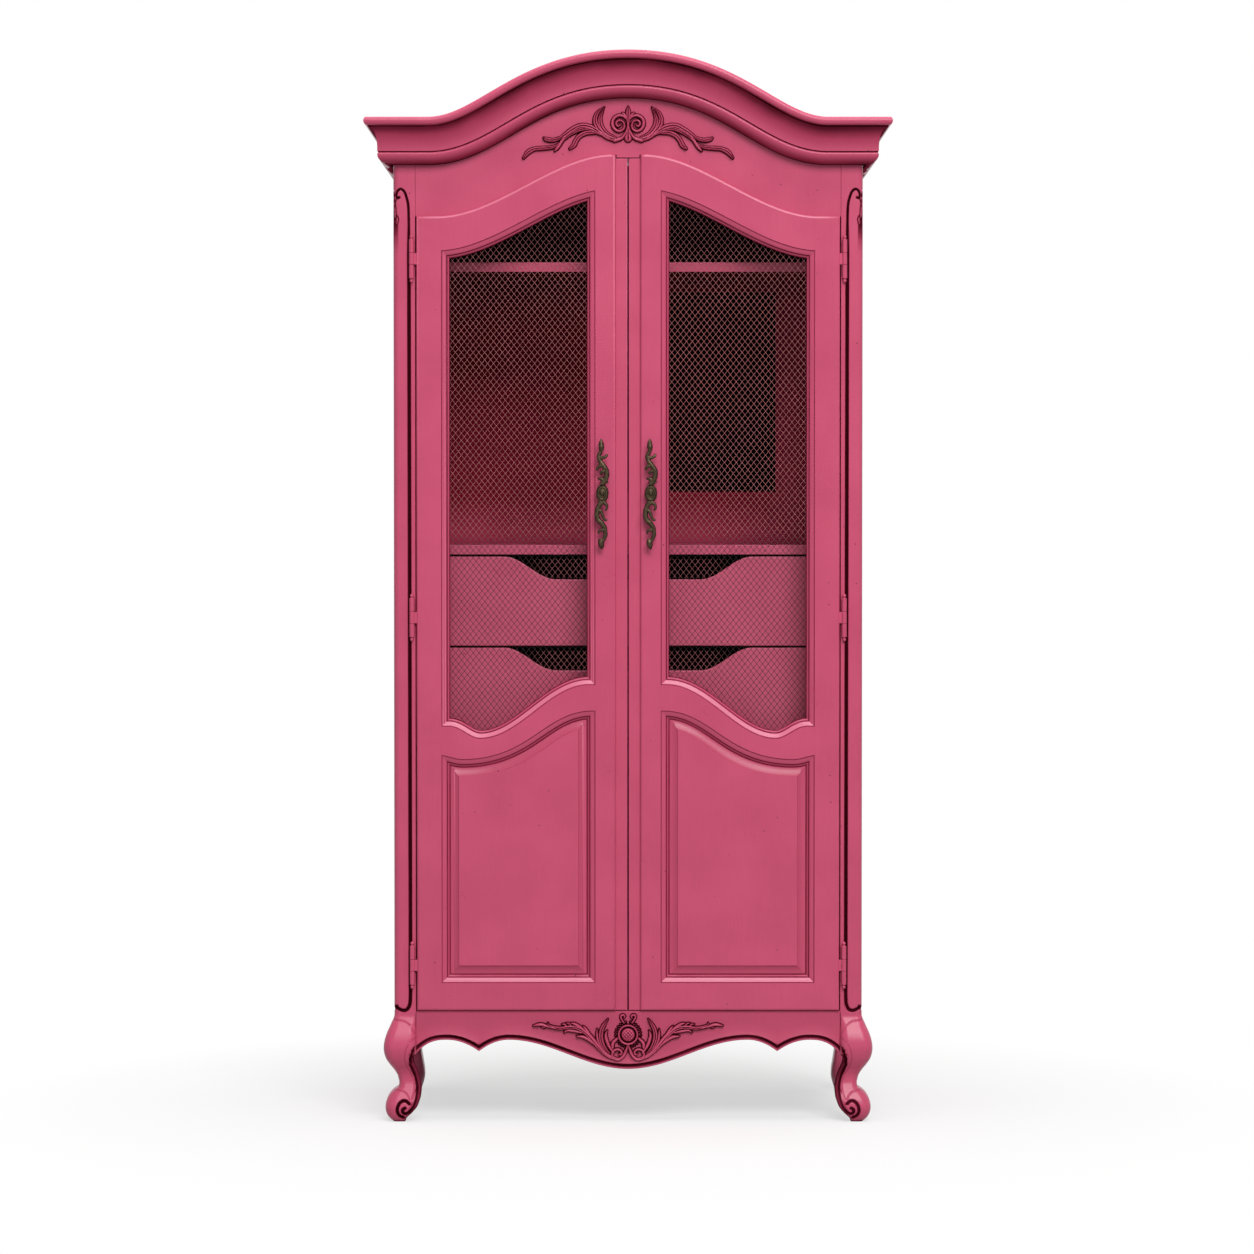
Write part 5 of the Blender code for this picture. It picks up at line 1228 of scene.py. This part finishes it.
def rail_regions():
    """Outlines of the top, middle and bottom rail."""
    upper, lower = [mitre_points(opening, True, -MITRE_GAP) for opening in OPENINGS]
    upper_in, lower_in = [mitre_points(opening, False, MITRE_GAP) for opening in OPENINGS]

    def between(curve, start, end, shift):
        return [(at, curve(at) + shift) for at in spaced(start[0], end[0], 6)[1:-1]]

    dip = between(mesh_head, upper[1], upper_in[1], -MITRE_REACH)
    low = between(panel_head, lower[1], lower_in[1], -MITRE_REACH)
    high = between(mesh_sill, upper_in[2], upper[2], MITRE_REACH)
    return {
        "top_rail": [(upper[0][0], OVERHEAD), *upper[:2], *dip, *upper_in[1::-1], (upper_in[0][0], OVERHEAD)],
        "mid_rail": [upper[3], *lower[:2], *low, *lower_in[1::-1], *upper_in[:1:-1], *high, upper[2]],
        "bottom_rail": [(lower[3][0], 0.0), *lower[:1:-1], *lower_in[2:], (lower_in[3][0], 0.0)],
    }


def door_members():
    """The stiles and rails of the right-hand door by name."""
    blank = door_blank()
    cutters = [rings_joined("opening", [placed_loop(opening, *step) for step in moulding_steps()])
               for opening in OPENINGS]
    regions = {"hinge_stile": stile_region(True, MITRE_GAP), "meeting_stile": stile_region(False, -MITRE_GAP),
               **rail_regions()}
    cut_by = {"top_rail": cutters[:1], "bottom_rail": cutters[1:]}
    made = {}
    for name, region in regions.items():
        keep = rings_joined(f"{name} region", [edge_ring(region, 0.0, depth)
                                               for depth in (DOOR_FACE - BEYOND, DOOR_REAR + BEYOND)])
        cuts = [(cutter.copy(), "DIFFERENCE") for cutter in cut_by.get(name, cutters)]
        made[name] = marked_with_glaze_and_light(shaded(carved(blank.copy(), (keep, "INTERSECT"), *cuts)), name.endswith("rail"))
    crest, edge = door_top(STRIP_EDGE) - STRIP_DROP, STRIP_EDGE + 0.006
    strip = [(DOOR_INNER, DOOR_BOTTOM), (edge, DOOR_BOTTOM), (edge, crest), (DOOR_INNER, crest)]
    strip = shaded(slab("strip", strip, DOOR_FACE + STRIP_STEP, DOOR_REAR, 0.0016))
    made["meeting_stile"] = joined("meeting stile", [made["meeting_stile"], strip])
    return made


def lower_panel_mesh():
    """Raised panel: a rim in the seat behind the moulding, a hollow bevel, a step and the flat field."""
    rim, face, depth = MOULD_WIDTH - SEAT_LAP + FIT, MOULD_WIDTH + FIT, MOULD_DEPTH
    steps = [(rim, DOOR_THICK - 0.002, 0.0), (rim, SEAT_DEPTH + FIT, 0.0),
             (face - 0.004, SEAT_DEPTH + FIT, 0.9), (face - 0.004, depth + 0.0002, 0.9), (face, depth, 0.6)]
    # Painted shade: the bevel darkens towards the field, and the step at the field's edge is dark.
    bevel = [(share, 1.0 - 0.55 * share ** 1.6, 0.03 + 0.15 * share) for share in spaced(0.0, 1.0, 8)[1:]]
    bevel += [(1.03, 0.40, 0.6), (1.03, 0.33, 0.3), (1.06, 0.30, 0.0), (1.12, 0.30, 0.0)]
    steps += [(face + share * FIELD_MARGIN, depth * deep, mark) for share, deep, mark in bevel]
    rings = [placed_loop(LOWER_OPENING, offset, at) for offset, at, _ in steps]
    glaze_and_painted_light = np.repeat([mark for _, _, mark in steps], len(rings[0]))
    return shaded(rings_joined("panel", rings, glaze_and_painted_light), 30.0)


class ARMOIRE_OT_door_frames(bpy.types.Operator):
    """Make the moulded stiles, rails and raised panels of both doors"""
    bl_idname = "armoire.door_frames"
    bl_label = "Door frames and panels"

    def execute(self, context):
        members = {**door_members(), "lower_panel": lower_panel_mesh()}
        for side, hand in SIDES:
            for place, mesh in members.items():
                piece(f"{hand}_moulded_{place}", handed(mesh, side), f"{hand}_door_{place}", f"{hand}_door")
        return {"FINISHED"}


# Wire mesh
def wire_paths(wide, tall, radius, weld):
    """Points and edges of the woven wires in the right-hand mesh opening, then a lone point per weld."""
    rim = np.array(opening_loop(UPPER_OPENING, MOULD_WIDTH - SEAT_LAP + 0.0012, 90))
    count = len(rim) // 2
    sill_at, sill_up = rim[:count][::-1].T
    head_at, head_up = rim[count:].T
    left, right = sill_at[0], sill_at[-1]
    base = sill_up.min() - tall
    levels = int((head_up.max() - base) / (tall / 2)) + 3
    depth = DOOR_FACE + SEAT_DEPTH + FIT + max(2 * radius, weld)
    lines = range(-levels, int((right - left) / wide) + 2 + levels)

    def inside(x, z):
        return left < x < right and np.interp(x, sill_at, sill_up) < z < np.interp(x, head_at, head_up)

    def leaving(kept, lost):
        """Where a wire between a point in the opening and one outside it ends."""
        low, high = kept, lost
        for _ in range(12):
            middle = ((low[0] + high[0]) / 2, (low[1] + high[1]) / 2)
            low, high = (middle, high) if inside(*middle) else (low, middle)
        return low[0], low[1], (kept[2] + lost[2]) / 2

    points, edges, welds = [], [], []
    for lean, line in [(lean, line) for lean in (1, -1) for line in lines]:
        rows = [(left + line * wide + lean * level * wide / 2, base + level * tall / 2,
                 depth + lean * radius * (-1) ** level) for level in range(levels)]
        within = [inside(x, z) for x, z, _ in rows]
        if lean > 0:
            welds += [(x, z, depth) for (x, z, _), kept in zip(rows, within) if kept]
        for last, here, was_in, is_in in zip(rows, rows[1:], within, within[1:]):
            if was_in or is_in:
                start = len(points)
                if was_in and points and points[-1][:2] == last[:2]:
                    edges.append((start - 1, start))
                else:
                    points.append(last if was_in else leaving(here, last))
                    edges.append((start, start + 1))
                points.append(here if is_in else leaving(last, here))
    return [(x, y, z) for x, z, y in points + welds], edges


def wire_tree(material):
    """Sweeps round wire along the edges of a mesh and sets a weld on each lone point."""
    tree = bpy.data.node_groups.new("woven wire", "GeometryNodeTree")
    names = [("Geometry", "Geometry"), ("Wire radius", "Float"), ("Sides", "Int"), ("Weld radius", "Float")]
    sockets = [tree.interface.new_socket(name, in_out="INPUT", socket_type=f"NodeSocket{kind}")
               for name, kind in names]
    tree.interface.new_socket("Geometry", in_out="OUTPUT", socket_type="NodeSocketGeometry")
    given = add(tree, "NodeGroupInput").outputs
    paths, radius, sides, weld = [given[name] for name, _ in names]
    curves = add(tree, "GeometryNodeMeshToCurve", {"Mesh": paths}).outputs[0]
    ring = add(tree, "GeometryNodeCurvePrimitiveCircle", {"Radius": radius, "Resolution": sides}).outputs[0]
    tubes = add(tree, "GeometryNodeCurveToMesh", {"Curve": curves, "Profile Curve": ring, "Fill Caps": True})
    joins = add(tree, "GeometryNodeInputMeshVertexNeighbors").outputs[0]
    lone = add(tree, "FunctionNodeCompare", {2: joins, 3: 0}, data_type="INT", operation="EQUAL").outputs[0]
    spots = add(tree, "GeometryNodeMeshToPoints", {"Mesh": paths, "Selection": lone}).outputs[0]
    ball = add(tree, "GeometryNodeMeshIcoSphere", {"Radius": weld, "Subdivisions": 1}).outputs[0]
    balls = add(tree, "GeometryNodeInstanceOnPoints", {"Points": spots, "Instance": ball})
    both = add(tree, "GeometryNodeJoinGeometry", {"Geometry": tubes.outputs[0]})
    tree.links.new(balls.outputs[0], both.inputs["Geometry"])
    smooth = add(tree, "GeometryNodeSetShadeSmooth", {"Geometry": both.outputs[0]})
    real = add(tree, "GeometryNodeRealizeInstances", {"Geometry": smooth.outputs[0]})
    coat = add(tree, "GeometryNodeSetMaterial", {"Geometry": real.outputs[0], "Material": material})
    add(tree, "NodeGroupOutput", {"Geometry": coat.outputs[0]})
    return tree, [socket.identifier for socket in sockets[1:]]


class ARMOIRE_OT_wire_mesh(bpy.types.Operator):
    """Weave the wire mesh of both doors"""
    bl_idname = "armoire.wire_mesh"
    bl_label = "Wire mesh"

    def execute(self, context):
        sizes = context.scene.armoire_sizes
        points, edges = wire_paths(sizes.diamond_width, sizes.diamond_height, sizes.wire / 2, sizes.weld / 2)
        paths = bpy.data.meshes.new("wire paths")
        paths.from_pydata(points, edges, [])
        holder = held(paths)
        tree, identifiers = wire_tree(finish("wire"))
        sweep = changed(holder, "sweep", "NODES", node_group=tree)
        for identifier, value in zip(identifiers, (sizes.wire / 2, 6, sizes.weld / 2)):
            sweep[identifier] = value
        mesh = settled(holder)
        for side, hand in SIDES:
            piece(f"{hand}_woven_wire", handed(mesh, side), f"{hand}_door_wire_mesh", f"{hand}_door", "wire",
                  "mesh_wire")
        return {"FINISHED"}


# Handles
def tube(points, count=12):
    """A round tapering stem through (x, y, z, radius) rows."""
    path = traced(points, 0.0012)
    ahead = np.gradient(path[:, :3], axis=0)
    ahead /= np.linalg.norm(ahead, axis=1)[:, None]
    rings = []
    for row, direction in zip(path, ahead):
        side = np.cross(direction, (0.0, 1.0, 0.0))
        side /= max(np.linalg.norm(side), 1e-9)
        front = np.cross(side, direction)
        rings.append([row[:3] + row[3] * (math.cos(turn) * side + math.sin(turn) * front)
                      for turn in around(count)])
    return rings_joined("stem", rings)


def dome(centre, half_width, half_height, depth):
    """An oval boss."""
    x, y, z = centre
    rings = []
    for climb in spaced(0.05 - math.pi / 2, math.pi / 2 - 0.05, 14):
        wide, high = half_width * math.cos(climb), half_height * math.cos(climb)
        rings.append([(x + wide * math.cos(turn), y + depth * math.sin(climb), z + high * math.sin(turn))
                      for turn in around(40)])
    return rings_joined("boss", rings)


def handle_mesh(cell):
    """One cast pull, its middle at the origin and its plate side towards +Y."""
    scale, middle, level = HANDLE_DRAWING
    centre, foot = 0.0005, HANDLE_STAND - FIT
    parts = [tube([((x - middle) * scale, -forward * 0.004 + 0.002, (level - z) * scale, width * 1.35 * scale)
                   for x, z, width, forward in stroke]) for stroke in HANDLE_STROKES]
    parts.append(dome((centre, 0.0, 0.0), 0.0130, 0.0186, 0.0060))
    parts.append(tube([(centre + 0.0084 * math.sin(turn), -0.0050, 0.0128 * math.cos(turn), 0.0019)
                       for turn in spaced(0.0, 2 * math.pi, 24)]))
    parts.append(dome((centre, -0.0052, 0.0), 0.0040, 0.0056, 0.0036))
    stem = [(0.0, 0.0036), (0.4, 0.0032), (0.75, 0.0036), (0.92, 0.0062), (1.0, 0.0066)]
    parts += [tube([(across, share * foot, up, radius) for share, radius in stem], 20)
              for across, up in HANDLE_POSTS]
    holder = held(joined("handle", parts))
    changed(holder, "fuse", "REMESH", mode="VOXEL", voxel_size=cell)
    changed(holder, "even", "SMOOTH", factor=0.5, iterations=3)
    mesh = settled(holder)
    mesh.shade_smooth()
    return mesh


class ARMOIRE_OT_handles(bpy.types.Operator):
    """Cast the two leafy pull handles"""
    bl_idname = "armoire.handles"
    bl_label = "Handles"

    def execute(self, context):
        mesh = handle_mesh(context.scene.armoire_sizes.handle_cell)
        for side, hand in SIDES:
            made = mesh.copy()
            place = (side * HANDLE_AT[hand], DOOR_FACE - HANDLE_STAND, HANDLE_HEIGHT)
            made.transform(Matrix.Translation(place))
            piece(f"{hand}_cast_pull", made, f"{hand}_door_handle", f"{hand}_door", "bronze", "handle_bronze")
        return {"FINISHED"}


# Hinges
def turned(profile, height, count=32):
    """A profile of (radius, height) turned about the hinge pin."""
    rings = [[(HINGE_X + radius * math.cos(turn), HINGE_Y + radius * math.sin(turn), height + up)
              for turn in around(count)] for radius, up in profile]
    return rings_joined("turned", rings)


def box_mesh(low, high):
    return rings_joined("leaf", [[(low[0], low[1], z), (high[0], low[1], z), (high[0], high[1], z),
                                  (low[0], high[1], z)] for z in (low[2], high[2])])


def hinge_meshes(height):
    """The right-hand post leaf with two knuckles and finials, and the door leaf with the middle knuckle."""
    half, middle, ease, radius = HINGE_LENGTH / 2, KNUCKLE / 2, 0.0007, HINGE_RADIUS
    end = [(0.0023, middle + FIT), (radius - ease, middle + FIT), (radius, middle + FIT + ease),
           (radius, half - ease), (radius - ease, half), (0.0024, half + 0.0004), (0.0022, half + 0.0012)]
    end += [(0.0036 * math.sin(turn), half + 0.0048 - 0.0037 * math.cos(turn))
            for turn in spaced(0.65, 2.9, 10)]
    end += [(0.0008, half + HINGE_FINIAL - 0.0002), (0.0002, half + HINGE_FINIAL)]
    post = []
    for way in (1, -1):
        post.append(turned([(out, way * z) for out, z in end], height))
        low, high = sorted((height + way * (middle + FIT + 0.0005), height + way * (half - 0.0005)))
        post.append(box_mesh((HINGE_X - LEAF / 2, HINGE_Y + 0.003, low),
                             (HINGE_X + LEAF / 2, FRONT + LEAF_REACH, high)))
    post.append(turned([(0.0022, -middle - 0.002), (0.0022, middle + 0.002)], height, 16))
    ring = [(radius - ease, -middle), (radius, -middle + ease), (radius, middle - ease),
            (radius - ease, middle)]
    leaf = box_mesh((HINGE_X - radius - LEAF_REACH, HINGE_Y - LEAF / 2, height - middle + 0.0005),
                    (HINGE_X - 0.003, HINGE_Y + LEAF / 2, height + middle - 0.0005))
    return joined("post leaf", post), joined("door leaf", [turned(ring, height), leaf])


class ARMOIRE_OT_hinges(bpy.types.Operator):
    """Turn the six hinges with their ball finials"""
    bl_idname = "armoire.hinges"
    bl_label = "Hinges"

    def execute(self, context):
        for place, height in HINGE_HEIGHTS.items():
            post, door = [shaded(mesh, 40.0) for mesh in hinge_meshes(height)]
            for side, hand in SIDES:
                for mesh, word, body in ((post, "post", "carcass"), (door, "door", f"{hand}_door")):
                    name = f"{hand}_{place}_{word}"
                    piece(f"{name}_knuckle", handed(mesh, side), f"{name}_hinge_leaf", body,
                          slot="hinge_paint")
        return {"FINISHED"}


# Drawers and catches
class ARMOIRE_OT_drawers(bpy.types.Operator):
    """Make the two scooped drawers"""
    bl_idname = "armoire.drawers"
    bl_label = "Drawers"

    def execute(self, context):
        width = context.scene.armoire_sizes.board_round / 2
        for body in ("upper_drawer", "lower_drawer"):
            low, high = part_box(f"{body}_front")
            half = [(high.x, low.z), (high.x, high.z)]
            half += [(at, ogee(at, (SCOOP_FLAT, high.z - SCOOP_DEPTH), (SCOOP_HALF, high.z)))
                     for at in spaced(SCOOP_HALF, SCOOP_FLAT, 28)]
            outline = half + [(-x, z) for x, z in half[::-1]]
            mesh = shaded(slab(f"{body} front", outline, low.y, high.y, 0.0022, 0.001))
            piece(f"{body.split('_')[0]}_scooped_front", mesh, f"{body}_front", body, "lit_paint")
            for node in (f"{body}_box", f"{body}_bottom"):
                piece(f"{node}_eased", eased(node, width), node, body, "shade_dark_drawer_wood", "raw_wood")
        return {"FINISHED"}


class ARMOIRE_OT_catches(bpy.types.Operator):
    """Round and plate the magnetic catch and the doors' steel plates"""
    bl_idname = "armoire.catches"
    bl_label = "Catches"

    def execute(self, context):
        look = {"coat": "steel", "slot": "catch_steel"}
        piece("double_magnet_catch", eased("magnetic_catch", 0.0012), "magnetic_catch", **look)
        for _, hand in SIDES:
            node = f"{hand}_door_catch_plate"
            piece(f"{hand}_strike_plate", eased(node, 0.0004), node, f"{hand}_door", **look)
        return {"FINISHED"}


# Stage
def shown(tree):
    """1 for a ray that shows the white background: from the camera, off gloss or through glass."""
    rays = add(tree, "ShaderNodeLightPath").outputs
    gloss = maths(tree, "MAXIMUM", rays["Is Camera Ray"], rays["Is Glossy Ray"])
    return maths(tree, "MAXIMUM", gloss, rays["Is Transmission Ray"])


def floor_material():
    """Smooth pale studio floor: near white, keeps a soft shadow under the feet."""
    made, tree, place = started("pale studio floor")
    seen = shown(tree)
    coated(made, toned(tree, seen, "floor"), 0.9)
    away = add(tree, "ShaderNodeVectorMath", {0: place}, operation="LENGTH").outputs["Value"]
    share = maths(tree, "MULTIPLY", seen, ramp(tree, away, 0.5, 1.4, 0.61, 1.0))
    white = add(tree, "ShaderNodeEmission", {"Strength": 1.0})
    both = add(tree, "ShaderNodeMixShader", {0: share, 1: tree.nodes["Principled BSDF"].outputs[0],
                                             2: white.outputs[0]})
    tree.links.new(both.outputs[0], tree.nodes["Material Output"].inputs["Surface"])
    return made


def studio_world():
    world = bpy.data.worlds.new("white studio")
    bpy.context.scene.world = world
    world.use_nodes = True
    tree = world.node_tree
    tree.nodes.clear()
    grounds = [{"Color": (1.0, 1.0, 1.0, 1.0), "Strength": strength} for strength in (0.16, 1.0)]
    light, white = [add(tree, "ShaderNodeBackground", ground).outputs[0] for ground in grounds]
    both = add(tree, "ShaderNodeMixShader", {0: shown(tree), 1: light, 2: white})
    add(tree, "ShaderNodeOutputWorld", {"Surface": both.outputs[0]})


def aimed(name, data, place, at):
    item = held(data, name)
    item.location = place
    item.rotation_euler = (Vector(at) - Vector(place)).to_track_quat("-Z", "Y").to_euler()
    return item


def lamp(name, place, at, size, power):
    light = bpy.data.lights.new(name, "AREA")
    light.shape = "RECTANGLE"
    light.size, light.size_y = size
    light.energy = power
    aimed(name, light, place, at)


class ARMOIRE_OT_stage(bpy.types.Operator):
    """Lay the floor and set the lights and the camera"""
    bl_idname = "armoire.stage"
    bl_label = "Stage"

    def execute(self, context):
        reach = 60.0
        mesh = bpy.data.meshes.new("floor")
        corners = [(-reach, -reach, 0.0), (reach, -reach, 0.0), (reach, reach, 0.0), (-reach, reach, 0.0)]
        mesh.from_pydata(corners, [], [(0, 1, 2, 3)])
        mesh.materials.append(floor_material())
        held(mesh, "studio_floor")
        studio_world()
        lamp("front soft box", (2.2, -9.4, 8.2), (0.0, 0.0, 1.0), (6.8, 4.9), 1100.0)
        lamp("overhead soft box", (0.0, -0.8, 6.0), (0.0, -0.2, 0.0), (4.0, 3.0), 150.0)
        middle, away, half_picture = -0.0022, 9.0, 627 * 0.002047
        lens = bpy.data.cameras.new("camera")
        lens.sensor_fit = "AUTO"
        lens.angle = 2 * math.atan(half_picture / away)
        context.scene.camera = aimed("camera", lens, (middle, FRONT - away, 1.25), (middle, FRONT, 1.0157))
        context.scene.view_settings.view_transform = "Standard"
        return {"FINISHED"}


OPERATORS = (ARMOIRE_OT_stage, ARMOIRE_OT_posts, ARMOIRE_OT_cornice, ARMOIRE_OT_front_boards,
             ARMOIRE_OT_carvings, ARMOIRE_OT_boards, ARMOIRE_OT_door_frames, ARMOIRE_OT_wire_mesh,
             ARMOIRE_OT_handles, ARMOIRE_OT_hinges, ARMOIRE_OT_drawers, ARMOIRE_OT_catches)


class ARMOIRE_PT_pieces(bpy.types.Panel):
    """Lists the armoire's pieces and settings"""
    bl_idname = "ARMOIRE_PT_pieces"
    bl_label = "Bonnet-top armoire"
    bl_space_type = "VIEW_3D"
    bl_region_type = "UI"
    bl_category = "Armoire"

    def draw(self, context):
        for group in (context.scene.armoire_sizes, context.scene.armoire_colours):
            for name in group.__annotations__:
                self.layout.prop(group, name)
        for operator in OPERATORS:
            self.layout.operator(operator.bl_idname)


CLASSES = (ArmoireSizes, ArmoireColours, *OPERATORS, ARMOIRE_PT_pieces)


def register():
    for made in CLASSES:
        bpy.utils.register_class(made)
    bpy.types.Scene.armoire_sizes = bpy.props.PointerProperty(type=ArmoireSizes)
    bpy.types.Scene.armoire_colours = bpy.props.PointerProperty(type=ArmoireColours)


def unregister():
    del bpy.types.Scene.armoire_colours
    del bpy.types.Scene.armoire_sizes
    for made in reversed(CLASSES):
        bpy.utils.unregister_class(made)


def main():
    register()
    for operator in OPERATORS:
        group, name = operator.bl_idname.split(".")
        getattr(getattr(bpy.ops, group), name)()


if __name__ == "__main__":
    main()
